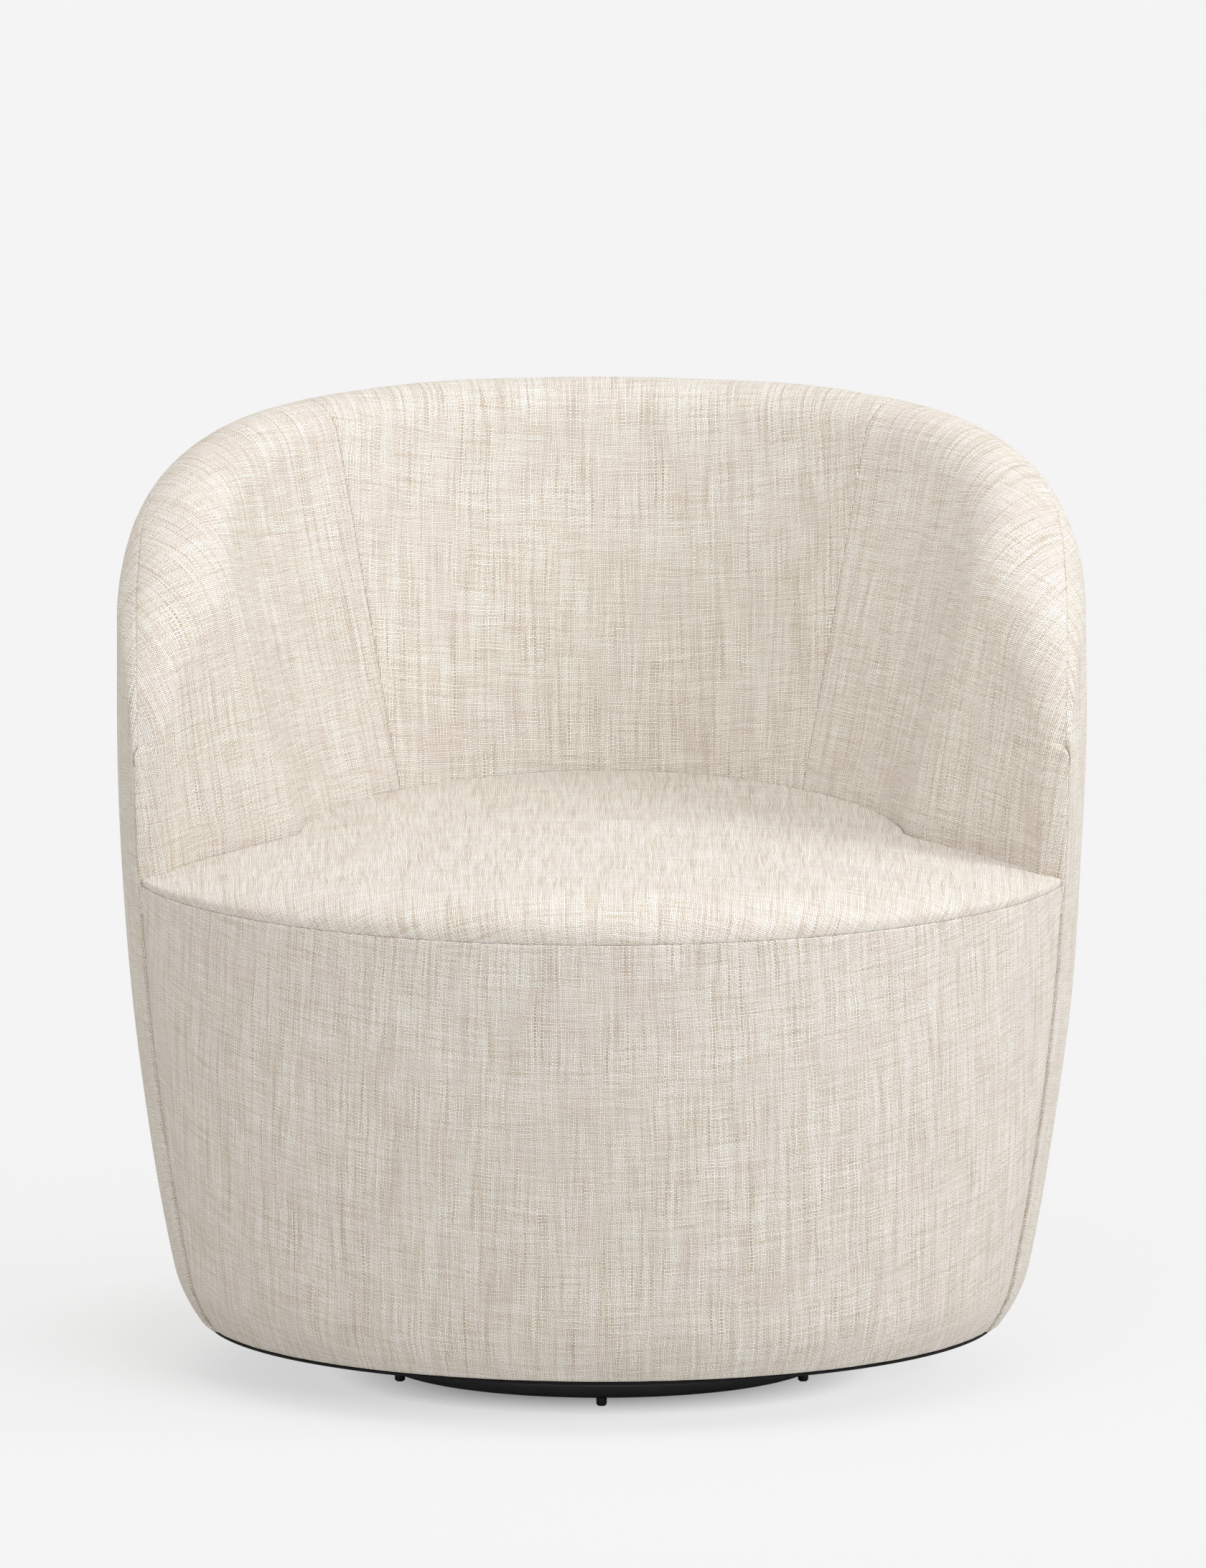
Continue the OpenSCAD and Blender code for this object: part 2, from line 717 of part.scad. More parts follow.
module sinuous_spring() {
    n = len(spring_path);
    function id(i, k) = i * spring_sides + k % spring_sides;
    points = [for (p = spring_path) for (k = [0:spring_sides - 1])
        let (b = 360 * k / spring_sides, r = wire_d / 2)
        [p[0] + r * cos(b) * sin(p[2]), p[1] - r * cos(b) * cos(p[2]), r * sin(b)]];
    sides = [for (i = [0:n - 2]) for (k = [0:spring_sides - 1]) each [
        [id(i, k), id(i, k + 1), id(i + 1, k + 1)],
        [id(i, k), id(i + 1, k + 1), id(i + 1, k)]]];
    ends = [
        [for (k = [spring_sides - 1:-1:0]) id(0, k)],
        [for (k = [0:spring_sides - 1]) id(n - 1, k)]];
    polyhedron(points, concat(sides, ends));
}

module seat_springs() {
    color(steel) for (x = spring_rows) translate([x, 0, spring_z]) sinuous_spring();
}

module spring_clips() {
    color(zinc) for (x = spring_rows) for (side = [-1, 1])
        translate([x, side * spring_span / 2, spring_z]) difference() {
            union() {
                rotate([0, 90, 0]) cylinder(r = clip_r, h = clip_w, center = true);
                translate([0, side * clip_foot / 2, -clip_r + clip_wall / 2])
                    cube([clip_w, clip_foot, clip_wall], center = true);
            }
            rotate([0, 90, 0])
                cylinder(d = wire_d + 2 * slip, h = clip_w + 2 * over, center = true);
        }
}

// Stations round the seat, and the seat's edge at each
front_r = shell_r(seat_h) - band_inset;
front_end_a = front_edge_a - arc_a(soft_gap, front_r);
seat_stations = concat(
    [for (i = [0:front_steps]) mix(-front_end_a, front_end_a, i / front_steps)],
    arm_stations, inner_of(back_stations), mirrored(arm_stations));
function at_front(a) = turned(a) < front_edge_a;
function seat_edge(a) = at_front(a) ? front_r : face_r(a, deck_h) - soft_gap;
function deck_edge(a) = at_front(a)
    ? shell_r(deck_h) - front_depth - fit_gap
    : seat_edge(a);

// Height of the crowned seat at radius r and angle a
function seat_top(a, r) =
    let (
        x = r * sin(turned(a)),
        y = -r * cos(turned(a)),
        corner = front_r * [sin(front_edge_a), -cos(front_edge_a)],
        d = at_front(a) ? front_r - r : norm([x, y] - corner)
    )
    seat_h + seam_lip
        + crown_h * (1 - pow(x / front_r, 2)) * round_in(clamp(d / crown_run));
function seat_ring(share, inset) = [for (a = seat_stations)
    let (r = seat_edge(a) * share)
    place(a, [r - inset, seat_top(a, r) - inset])];

module deck_cloth() {
    color(black_cloth) translate([0, 0, deck_h + fit_gap]) linear_extrude(cloth_t)
        polygon([for (a = seat_stations) deck_edge(a) * [sin(a), -cos(a)]]);
}

module seat_foam() {
    inset = cover_t + soft_gap;
    bottom = deck_h + 2 * fit_gap + cloth_t;
    function low_r(a) = deck_edge(a) - (at_front(a) ? 0 : inset);
    tops = [for (s = seat_shares) if (s < 1) seat_ring(s, inset)];
    edge = [for (a = seat_stations) place(a, [low_r(a), seat_top(a, seat_edge(a)) - inset])];
    base = [for (a = seat_stations) place(a, [low_r(a), bottom])];
    color(foam) domed(
        [0, 0, seat_top(0, 0) - inset], concat(tops, [edge, base]), [0, 0, bottom]);
}

/* Upholstery */

module back_foam() {
    color(foam) wall_foam(seam_ended(back_stations));
}

module right_arm_foam() {
    color(foam) wall_foam(from_index(arm_stations, closed_stations));
}

module left_arm_foam() {
    color(foam) mirror([1, 0, 0])
        wall_foam(from_index(arm_stations, closed_stations));
}

// A list of stations drawn in a little at both ends, for the seams
function seam_ended(list) =
    let (g = arc_a(soft_gap, seat_r))
    concat([list[0] + g], inner_of(list), [list[len(list) - 1] - g]);

module wall_foam(stations) {
    function path(a, outer) =
        let (w = roll(a), end = 180 - lean(a), first = cover_t + soft_gap)
        concat(
            [for (k = [0:roll_steps])
                roll_pt(w, mix(0, end, k / roll_steps), outer ? first : w[2] - core(a))],
            [for (z = concat([for (s = face_shares) face_z(a, s)], [tuck_h]))
                face_pt(a, z, outer ? first : pad_depth(a, z))]);
    skin_between(
        [for (a = stations) [for (p = path(a, true)) place(a, p)]],
        [for (a = stations) [for (p = path(a, false)) place(a, p)]]);
}

// Inside cover of a wall, from its seam on the round top down to the seat. Its
// first stations, at the front edge of an arm, close the wall's whole thickness.
module wall_cover(stations, closed) {
    function depth_at(a, i, z) = i < closed
        ? (wall_t(a, z) - cover_t - soft_gap) * cos(lean(a))
        : cover_t;
    function path(i, outer) =
        let (
            a = stations[i],
            w = roll(a),
            end = 180 - lean(a),
            round_depth = i < closed ? (1 - core_share / 4) * w[2] : cover_t
        )
        concat(
            [for (k = [0:roll_steps])
                roll_pt(w, mix(seam_a, end, k / roll_steps), outer ? 0 : round_depth)],
            [for (z = concat([for (s = face_shares) face_z(a, s)], [tuck_h]))
                face_pt(a, z, outer ? 0 : depth_at(a, i, z))]);
    skin_between(
        [for (i = [0:len(stations) - 1]) [for (p = path(i, true)) place(stations[i], p)]],
        [for (i = [0:len(stations) - 1]) [for (p = path(i, false)) place(stations[i], p)]]);
}

module back_cover() {
    color(linen) wall_cover(seam_ended(back_stations), 0);
}

module right_arm_cover() {
    color(linen) wall_cover(arm_stations, closed_stations);
}

module left_arm_cover() {
    color(linen) mirror([1, 0, 0]) wall_cover(arm_stations, closed_stations);
}

module outer_cover() {
    function path(a, depth) =
        let (w = roll(a), end = seam_a - arc_a(soft_gap, w[2]))
        concat(
            [for (z = side_rows(a)) [shell_r(z) - depth, z]],
            [for (k = [1:seam_steps]) roll_pt(w, end * k / seam_steps, depth)]);
    color(linen) skin_between(
        [for (a = shell_stations) [for (p = path(a, 0)) place(a, p)]],
        [for (a = shell_stations) [for (p = path(a, cover_t)) place(a, p)]]);
}

module front_band() {
    rows = concat([for (z = side_rows(front_edge_a)) if (z < deck_h) z], [seat_h]);
    end_a = front_edge_a - arc_a(soft_gap, shell_r(rim_h));
    outside = [for (z = rows) [shell_r(z) - band_inset, z]];
    inside = [for (i = [len(rows) - 1:-1:0])
        [shell_r(rows[i]) - band_inset - cover_t, rows[i]]];
    color(linen) front_arc(end_a, concat(outside, inside));
}

module seat_cover() {
    low_z = deck_h + 2 * fit_gap + cloth_t;
    function hem(inset) = [for (a = seat_stations)
        place(a, [seat_edge(a) - inset, at_front(a) ? seat_h + soft_gap : low_z])];
    tops = [for (s = seat_shares) seat_ring(s, 0)];
    linings = [for (i = [len(seat_shares) - 1:-1:0]) seat_ring(seat_shares[i], cover_t)];
    color(linen) domed(
        [0, 0, seat_top(0, 0)],
        concat(tops, [hem(0), hem(cover_t)], linings),
        [0, 0, seat_top(0, 0) - cover_t]);
}

base_ring();
base_plate();
base_arms();
glides();
lower_race();
king_pin();
king_washer();
king_nut();
base_bolts();
base_nuts();
ball_cage();
bearing_balls();
upper_race();
bearing_bolts();
t_nuts();
dust_cover();
bottom_board();
front_ribs();
arm_front_ribs();
arm_ribs();
corner_ribs();
back_ribs();
frame_screws();
deck_ring();
front_rail();
top_rail();
outer_skin();
front_skin();
inner_skin();
spring_rails();
seat_springs();
spring_clips();
deck_cloth();
seat_foam();
back_foam();
left_arm_foam();
right_arm_foam();
outer_cover();
front_band();
back_cover();
left_arm_cover();
right_arm_cover();
seat_cover();
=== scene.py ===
"""Looks of the swivel barrel chair: linen covers with folded seams over a round
back, two arms and a crowned seat, on a black tube ring with five glides."""
import math

import bmesh
import bpy
import numpy as np
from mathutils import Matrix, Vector


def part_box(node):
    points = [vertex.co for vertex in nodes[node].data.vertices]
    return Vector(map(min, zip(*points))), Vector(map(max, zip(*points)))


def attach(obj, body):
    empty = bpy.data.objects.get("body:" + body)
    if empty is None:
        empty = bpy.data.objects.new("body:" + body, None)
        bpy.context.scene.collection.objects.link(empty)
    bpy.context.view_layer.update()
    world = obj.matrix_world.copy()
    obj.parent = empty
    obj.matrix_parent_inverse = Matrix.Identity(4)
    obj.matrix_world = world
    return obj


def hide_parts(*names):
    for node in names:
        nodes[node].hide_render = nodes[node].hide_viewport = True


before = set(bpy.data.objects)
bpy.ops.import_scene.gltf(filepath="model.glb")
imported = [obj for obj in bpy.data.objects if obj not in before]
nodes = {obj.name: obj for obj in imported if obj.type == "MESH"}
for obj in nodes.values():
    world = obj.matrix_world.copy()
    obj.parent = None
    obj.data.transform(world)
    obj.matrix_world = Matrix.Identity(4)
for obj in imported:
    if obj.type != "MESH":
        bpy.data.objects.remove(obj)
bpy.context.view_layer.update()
scene = bpy.context.scene
MM = 0.001

# shell sizes
# In millimetres and degrees, as the solids have them. SEAM_GAP, HEM_DROP, NOSE_SWELL
# and the two NOSE_EDGE sizes are the cloth's alone.
BARREL_R, BELLY_IN, BELLY_POWER = 405.0, 58.0, 2.2
BACK_H, ARM_H, WIDEST_H = 779.0, 672.0, 600.0
RIM_H, RIM_ROUND_R, RIM_ROUND_H = 45.3, 95.0, 48.0
FRONT_EDGE, NOSE_SPAN, NOSE_POWER, NOSE_T = 75.5, 18.0, 1.6, 24.0
CORNER_DROP, CORNER_SPAN, CREST_POWER = 80.0, 10.0, 2.4
SEAT_R, LEAN_H, SEAT_SEAM_H, DECK_H = 253.0, 461.0, 427.0, 402.0
TOP_WALL = 65.6
LEAN_SLOPE = (BARREL_R - TOP_WALL - SEAT_R) / (BACK_H - LEAN_H)
CORNER_SEAM, OUTER_SEAM = 138.5, 50.0
SEAM_LIP, CROWN_H, CROWN_RUN = 6.0, 32.0, 60.0
CLOTH_T, BAND_INSET, GAP, SEAM_GAP, HEM_DROP = 4.0, 3.0, 0.6, 0.12, 0.9
TUCK_H = DECK_H + 2 * GAP
ARM_END = FRONT_EDGE + CORNER_SPAN
NOSE_SWELL, NOSE_EDGE_IN, NOSE_EDGE_OUT = 3.4, 1.1, 1.2


# shell surfaces
def shell_r(z):
    belly = BELLY_IN * (abs(z - WIDEST_H) / (WIDEST_H - RIM_H)) ** BELLY_POWER
    d = np.maximum(0, RIM_H + RIM_ROUND_H - z)
    return BARREL_R - belly - (RIM_ROUND_R - np.sqrt(RIM_ROUND_R ** 2 - d ** 2))


def turned(a):
    return abs((a + 180) % 360 - 180)


def nose_fill(a):
    u = np.clip((turned(a) - FRONT_EDGE) / NOSE_SPAN, 0, 1)
    return 1 - (1 - u) ** NOSE_POWER


def lean(a):
    return np.arctan(LEAN_SLOPE * nose_fill(a))


def face_r(a, z):
    thin = shell_r(z) - NOSE_T
    hollow = SEAT_R + np.maximum(0, z - LEAN_H) * LEAN_SLOPE
    return thin + (hollow - thin) * nose_fill(a)


def crest_h(a):
    t = np.radians(turned(a))
    fall = ((1 + np.cos(t)) / (1 + math.cos(math.radians(ARM_END)))) ** CREST_POWER
    u = np.clip((ARM_END - turned(a)) / CORNER_SPAN, 0, 1)
    return BACK_H - (BACK_H - ARM_H) * fall - CORNER_DROP * (1 - np.sqrt(1 - u ** 2))


def roll(a):
    """Centre radius, centre height and radius of the round top at angle a."""
    top, lean_cos = crest_h(a), np.cos(lean(a))
    r = NOSE_T
    for _ in range(3):
        r = (shell_r(top - r) - face_r(a, top - r)) * lean_cos / (1 + lean_cos)
    return shell_r(top - r) - r, top - r, r


def place(a, r, z):
    t = np.radians(a)
    return np.stack([r * np.sin(t), -r * np.cos(t), z + 0 * r], -1)


# grids of cloth
# Rows next to an edge lie this far from it, close enough to round its fold
HEM = np.array([0, 0.35, 0.8, 1.4, 2.2, 3.2, 4.6, 6.5])
ARM_STEP, ARM_STEP_GROWTH, MOST_ARM_STEPS = 2.2, 1.08, 400
FLAT_CUT_ROWS = 30
PADDING_WAVES, PADDING_WAVE, WAVE_SPREAD = 9, 120, (0.7, 1.6)
PUCKER_SEED, PUCKER_WAVE, PUCKER_START, PUCKER_REACH, CALM_RUN = 50, 17, 3, 9, 30
LEAST_WALL = 0.4
# Rows down a cover's folded edge, as shares of its depth
EDGE_SHARES = (0.1, 0.9, 1.0)


def run_of(total, step):
    """Places along a length, close together at both of its ends."""
    n = max(4, int(round((np.max(total) - 2 * HEM[-1]) / step)))
    inner = np.linspace(0, 1, n + 1)[1:-1]
    total = np.atleast_1d(np.asarray(total, float))[:, None]
    mid = HEM[-1] + (total - 2 * HEM[-1]) * inner
    rows = total.shape[0]
    return np.concatenate([np.tile(HEM, (rows, 1)), mid, total - HEM[::-1]], 1)


def angles_between(first, last, radius, step):
    lengths = run_of(math.radians(last - first) * radius, step)[0]
    return first + np.degrees(lengths / radius)


def arm_angles(step):
    """Stations over one arm, closest where its top falls to the front edge. The
    outer cover and the arm cover share them, so that their seam fits."""
    total = math.radians(CORNER_SEAM - FRONT_EDGE) * BARREL_R
    steps = np.minimum(step, ARM_STEP * ARM_STEP_GROWTH ** np.arange(MOST_ARM_STEPS))
    mid = HEM[-1] + np.cumsum(steps)
    mid = mid[mid < total - HEM[-1] - 0.5 * step]
    return FRONT_EDGE + np.degrees(np.concatenate([HEM, mid, total - HEM[::-1]]) / BARREL_R)


def outside_path(a, s_step, inset=0.0, top=None):
    """Columns from the rim up the outside and, without a top, over to the seam."""
    z0 = RIM_H - HEM_DROP
    c, h, r = roll(a)
    if top is None:
        side, end = h - z0, math.radians(OUTER_SEAM) - SEAM_GAP / r
    else:
        side, end = top - z0 + 0 * r, 0 * r
    s = run_of(side + end * r, s_step)
    z = z0 + np.minimum(s, side[:, None])
    b = np.maximum(0, s - side[:, None]) / r[:, None]
    on_roll = b > 0
    radius = np.where(on_roll, c[:, None] + r[:, None] * np.cos(b), shell_r(z)) - inset
    height = np.where(on_roll, h[:, None] + r[:, None] * np.sin(b), z)
    return place(a[:, None], radius, height)


def inside_path(a, s_step):
    """Columns from the seat up the inside and over the round top to the seam."""
    c, h, r = roll(a)
    tilt = lean(a)
    face_top = h + r * np.sin(tilt)
    face_len = (face_top - TUCK_H) / np.cos(tilt)
    sweep = math.pi - tilt - math.radians(OUTER_SEAM)
    s = run_of(face_len + sweep * r, s_step)
    share = np.minimum(s, face_len[:, None]) / face_len[:, None]
    z = TUCK_H + share * (face_top - TUCK_H)[:, None]
    b = (math.pi - tilt)[:, None] - np.maximum(0, s - face_len[:, None]) / r[:, None]
    on_roll = s > face_len[:, None]
    radius = np.where(on_roll, c[:, None] + r[:, None] * np.cos(b), face_r(a[:, None], z))
    height = np.where(on_roll, h[:, None] + r[:, None] * np.sin(b), z)
    return place(a[:, None], radius, height), s


def along(points, axis):
    """Distance from the first row or column of a grid, along that axis."""
    steps = np.linalg.norm(np.diff(points, axis=axis), axis=-1)
    first = np.zeros_like(np.take(steps, [0], axis=axis))
    return np.concatenate([first, np.cumsum(steps, axis=axis)], axis=axis)


def sheet_faces(n, m, base=0, flip=False):
    i, j = np.meshgrid(np.arange(n - 1), np.arange(m - 1), indexing="ij")
    a = base + i * m + j
    quad = np.stack([a, a + m, a + m + 1, a + 1], -1).reshape(-1, 4)
    return (quad[:, ::-1] if flip else quad).tolist()


def cloth_map(points, column):
    """The flat cut of a cover, in metres: its surface laid out with little stretch,
    turned so that the threads stand upright at one column."""
    # A coarser grid is laid out, and its map is read between
    keep = [np.unique(np.linspace(0, k - 1, min(k, FLAT_CUT_ROWS)).round().astype(int))
            for k in points.shape[:2]]
    n, m = (len(k) for k in keep)
    coarse = points[np.ix_(*keep)]
    mesh = bpy.data.meshes.new("flat_cut")
    mesh.from_pydata((coarse.reshape(-1, 3) * MM).tolist(), [], sheet_faces(n, m))
    mesh.uv_layers.new(name="cut")
    sheet = bpy.data.objects.new("flat_cut", mesh)
    scene.collection.objects.link(sheet)
    bpy.context.view_layer.objects.active = sheet
    sheet.select_set(True)
    bpy.ops.object.mode_set(mode="EDIT")
    bpy.ops.mesh.select_all(action="SELECT")
    bpy.ops.uv.unwrap(method="ANGLE_BASED", margin=0.0)
    bpy.ops.object.mode_set(mode="OBJECT")
    flat, index = np.zeros(len(mesh.loops) * 2), np.zeros(len(mesh.loops), int)
    mesh.uv_layers["cut"].data.foreach_get("uv", flat)
    mesh.loops.foreach_get("vertex_index", index)
    uv = np.zeros((n * m, 2))
    uv[index] = flat.reshape(-1, 2)
    bpy.data.objects.remove(sheet)
    bpy.data.meshes.remove(mesh)
    uv = uv.reshape(n, m, 2)
    # Its scale follows the areas
    sides = [np.diff(uv, axis=k)[:n - 1, :m - 1] for k in (0, 1)]
    real = [np.diff(coarse, axis=k)[:n - 1, :m - 1] for k in (0, 1)]
    area = (sides[0][..., 0] * sides[1][..., 1] - sides[0][..., 1] * sides[1][..., 0]).sum()
    uv = uv * math.sqrt(np.linalg.norm(np.cross(*real), axis=-1).sum() / abs(area)) * MM
    # Between the coarse rows it is read by the distances along the cover
    across, up = along(points, 0), along(points, 1)
    rows = np.empty((len(points), m, 2))
    for j, row in enumerate(keep[1]):
        for k in (0, 1):
            rows[:, j, k] = np.interp(across[:, row], across[keep[0], row], uv[:, j, k])
    full = np.empty(points.shape[:2] + (2,))
    for i in range(len(points)):
        for k in (0, 1):
            full[i, :, k] = np.interp(up[i], up[i, keep[1]], rows[i, :, k])
    middle = full.shape[1] // 2
    stand = full[column, middle] - full[column, 0]
    stand /= np.linalg.norm(stand)
    side = np.array([stand[1], -stand[0]])
    full = full - full[column, 0]
    full = np.stack([full @ side, full @ stand], -1)
    return full * np.array([1 if full[-1, middle, 0] > full[0, middle, 0] else -1, 1])


def normals_of(points, towards):
    n = np.cross(np.gradient(points, axis=0), np.gradient(points, axis=1))
    n /= np.maximum(np.linalg.norm(n, axis=-1, keepdims=True), 1e-9)
    mid = tuple(k // 2 for k in points.shape[:2])
    return n if n[mid] @ np.asarray(towards, float) > 0 else -n


def seam_fall(distance, width, depth):
    t = np.clip(1 - distance / width, 0, 1)
    return depth * (1 - np.sqrt(1 - t ** 2))


def uneven(points, seed, amplitude, wave):
    """A soft unevenness of the padding: a seeded sum of slow waves."""
    rng = np.random.default_rng(seed)
    total = np.zeros(points.shape[:-1])
    for _ in range(PADDING_WAVES):
        direction = rng.normal(size=3)
        direction /= np.linalg.norm(direction)
        length = wave * rng.uniform(*WAVE_SPREAD)
        phase = rng.uniform(0, 2 * math.pi)
        total += np.sin(points @ direction * 2 * math.pi / length + phase)
    return amplitude * total / math.sqrt(PADDING_WAVES)


def edge_distances(points):
    across, up = along(points, 0), along(points, 1)
    return across, across[-1:, :] - across, up, up[:, -1:] - up


def relief(points, seed, falls, soft=0.5, pucker=0.22):
    """How far a cover lies under its plain surface: its folded edges, the small
    puckers that run into them, and the padding's unevenness. falls holds the
    width and depth of the fold at each of the grid's four edges."""
    distances = edge_distances(points)
    fall = np.zeros(points.shape[:-1])
    near = np.full(points.shape[:-1], 1e9)
    for distance, fold in zip(distances, falls):
        if fold:
            fall = np.maximum(fall, seam_fall(distance, *fold))
            near = np.minimum(near, distance)
    calm = np.clip(near / CALM_RUN, 0, 1)
    ripple = uneven(points, seed + PUCKER_SEED, pucker, PUCKER_WAVE) * np.exp(-near / PUCKER_REACH)
    ripple = ripple * np.clip(near / PUCKER_START, 0, 1)
    return fall + uneven(points, seed, soft, PADDING_WAVE) * calm + ripple


def finish_mesh(name, verts, faces, uvs):
    """A smooth piece from places in millimetres, with the cloth's map on it."""
    mesh = bpy.data.meshes.new(name)
    mesh.from_pydata((verts * MM).tolist(), [], faces)
    mesh.polygons.foreach_set("use_smooth", [True] * len(mesh.polygons))
    layer = mesh.uv_layers.new(name="cloth")
    index = np.zeros(len(mesh.loops), int)
    mesh.loops.foreach_get("vertex_index", index)
    layer.data.foreach_set("uv", uvs[index].astype(np.float32).ravel())
    mesh.validate()
    piece = bpy.data.objects.new(name, mesh)
    scene.collection.objects.link(piece)
    return piece


def rim_of(n, m):
    """The places of a grid's outermost points, once round."""
    rim = [(i, 0) for i in range(n)] + [(n - 1, j) for j in range(1, m)]
    return rim + [(i, m - 1) for i in range(n - 2, -1, -1)] + [(0, j) for j in range(m - 2, 0, -1)]


def band_between(ring, new, flip=False):
    """The faces that join two closed rows of points."""
    sides = zip(ring, new, new[1:] + new[:1], ring[1:] + ring[:1])
    return [side[::-1] if flip else side for side in sides]


def cover(name, points, outward, uv, sink, thick=CLOTH_T):
    """A cover as a closed skin: its face sinks at the folds, its back is plain, and
    the folded edge between them carries the cloth's map on round."""
    n, m = points.shape[:2]
    normal = normals_of(points, outward)
    depth = np.maximum(thick, sink + LEAST_WALL)
    probe = np.cross(points[1, 0] - points[0, 0], points[0, 1] - points[0, 0])
    flip = probe @ normal[0, 0] < 0
    rim = rim_of(n, m)
    at = tuple(np.array(rim).T)
    beyond = np.stack([(at[0] == n - 1) * 1.0 - (at[0] == 0),
                       (at[1] == m - 1) * 1.0 - (at[1] == 0)], -1)
    verts = [(points - normal * sink[..., None]).reshape(-1, 3)]
    uvs = [uv.reshape(-1, 2)]
    faces = sheet_faces(n, m, 0, flip)
    ring, count = [i * m + j for i, j in rim], n * m
    for share in EDGE_SHARES:
        at_depth = sink + (depth - sink) * share
        if share < 1:
            verts.append((points - normal * at_depth[..., None])[at])
            uvs.append(uv[at] + beyond * (at_depth - sink)[at][:, None] * MM)
            new = list(range(count, count + len(rim)))
            count += len(rim)
        else:
            verts.append((points - normal * at_depth[..., None]).reshape(-1, 3))
            uvs.append(uv.reshape(-1, 2))
            new = [count + i * m + j for i, j in rim]
            faces += sheet_faces(n, m, count, not flip)
        faces += band_between(ring, new, flip)
        ring = new
    return finish_mesh(name, np.concatenate(verts), faces, np.concatenate(uvs))


# node materials
class Graph:
    """Makes a material's nodes and links with few words."""

    def __init__(self, name):
        self.material = bpy.data.materials.new(name)
        self.material.use_nodes = True
        self.tree = self.material.node_tree
        self.tree.nodes.clear()
        self.out = self.make("ShaderNodeOutputMaterial")

    def make(self, kind, **settings):
        node = self.tree.nodes.new(kind)
        for key, value in settings.items():
            setattr(node, key, value)
        return node

    def put(self, socket, value):
        if isinstance(value, bpy.types.NodeSocket):
            self.tree.links.new(value, socket)
        else:
            socket.default_value = value

    def math(self, operation, *values):
        node = self.make("ShaderNodeMath", operation=operation)
        for socket, value in zip(node.inputs, values):
            self.put(socket, value)
        return node.outputs[0]

    def span(self, value, low, high, new_low=0.0, new_high=1.0):
        node = self.make("ShaderNodeMapRange")
        for socket, v in zip(node.inputs, (value, low, high, new_low, new_high)):
            self.put(socket, v)
        return node.outputs[0]

    def vector(self, x, y, z=0.0):
        node = self.make("ShaderNodeCombineXYZ")
        for socket, v in zip(node.inputs, (x, y, z)):
            self.put(socket, v)
        return node.outputs[0]

    def noise(self, vector, scale=1.0, detail=2.0, rough=0.5, dims="3D"):
        node = self.make("ShaderNodeTexNoise", noise_dimensions=dims)
        self.put(node.inputs["Vector"], vector)
        self.put(node.inputs["Scale"], scale)
        self.put(node.inputs["Detail"], detail)
        self.put(node.inputs["Roughness"], rough)
        return node.outputs["Fac"]

    def ramp(self, value, stops):
        node = self.make("ShaderNodeValToRGB")
        points = node.color_ramp.elements
        while len(points) < len(stops):
            points.new(0.5)
        for point, (place_at, colour) in zip(points, stops):
            point.position = place_at
            point.color = (*colour, 1)
        self.put(node.inputs[0], value)
        return node.outputs[0]

    def mix(self, share, first, second, blend="MIX"):
        node = self.make("ShaderNodeMix", data_type="RGBA", blend_type=blend)
        self.put(node.inputs[0], share)
        # Its sockets 6 and 7, and 2 on the way out, are the ones for colours
        for socket, value in zip((node.inputs[6], node.inputs[7]), (first, second)):
            self.put(socket, (*value, 1) if isinstance(value, tuple) else value)
        return node.outputs[2]

    def bump(self, height, distance, strength):
        node = self.make("ShaderNodeBump")
        self.put(node.inputs["Strength"], strength)
        self.put(node.inputs["Distance"], distance)
        self.put(node.inputs["Height"], height)
        return node.outputs[0]

    def surface(self, colour, rough, normal, **constants):
        node = self.make("ShaderNodeBsdfPrincipled")
        self.put(node.inputs["Base Color"], colour)
        self.put(node.inputs["Roughness"], rough)
        self.put(node.inputs["Normal"], normal)
        for key, value in constants.items():
            node.inputs[key.replace("_", " ")].default_value = value
        self.put(self.out.inputs["Surface"], node.outputs[0])
        return self.material

    def object_place(self):
        return self.make("ShaderNodeTexCoord").outputs["Object"]


def srgb(r, g, b):
    """A colour given as 0 to 255 on screen, as the light that it stands for."""
    return tuple(
        c / 12.92 if c <= 0.04045 else ((c + 0.055) / 1.055) ** 2.4
        for c in (r / 255, g / 255, b / 255))


# The linen, in millimetres: from thread to thread, and how long the slubs are
THREAD, WARP_REACH, WEFT_REACH = 1.45, 84.0, 48.0
# A thread's tone is the sum of three noises: one partly like its neighbours', one
# in bands of a few threads, and one of the thread alone
OWN_SHARE, PAIR_SHARE, LONE_SHARE = 0.32, 0.25, 0.43
CROSSING_TONE = 0.025


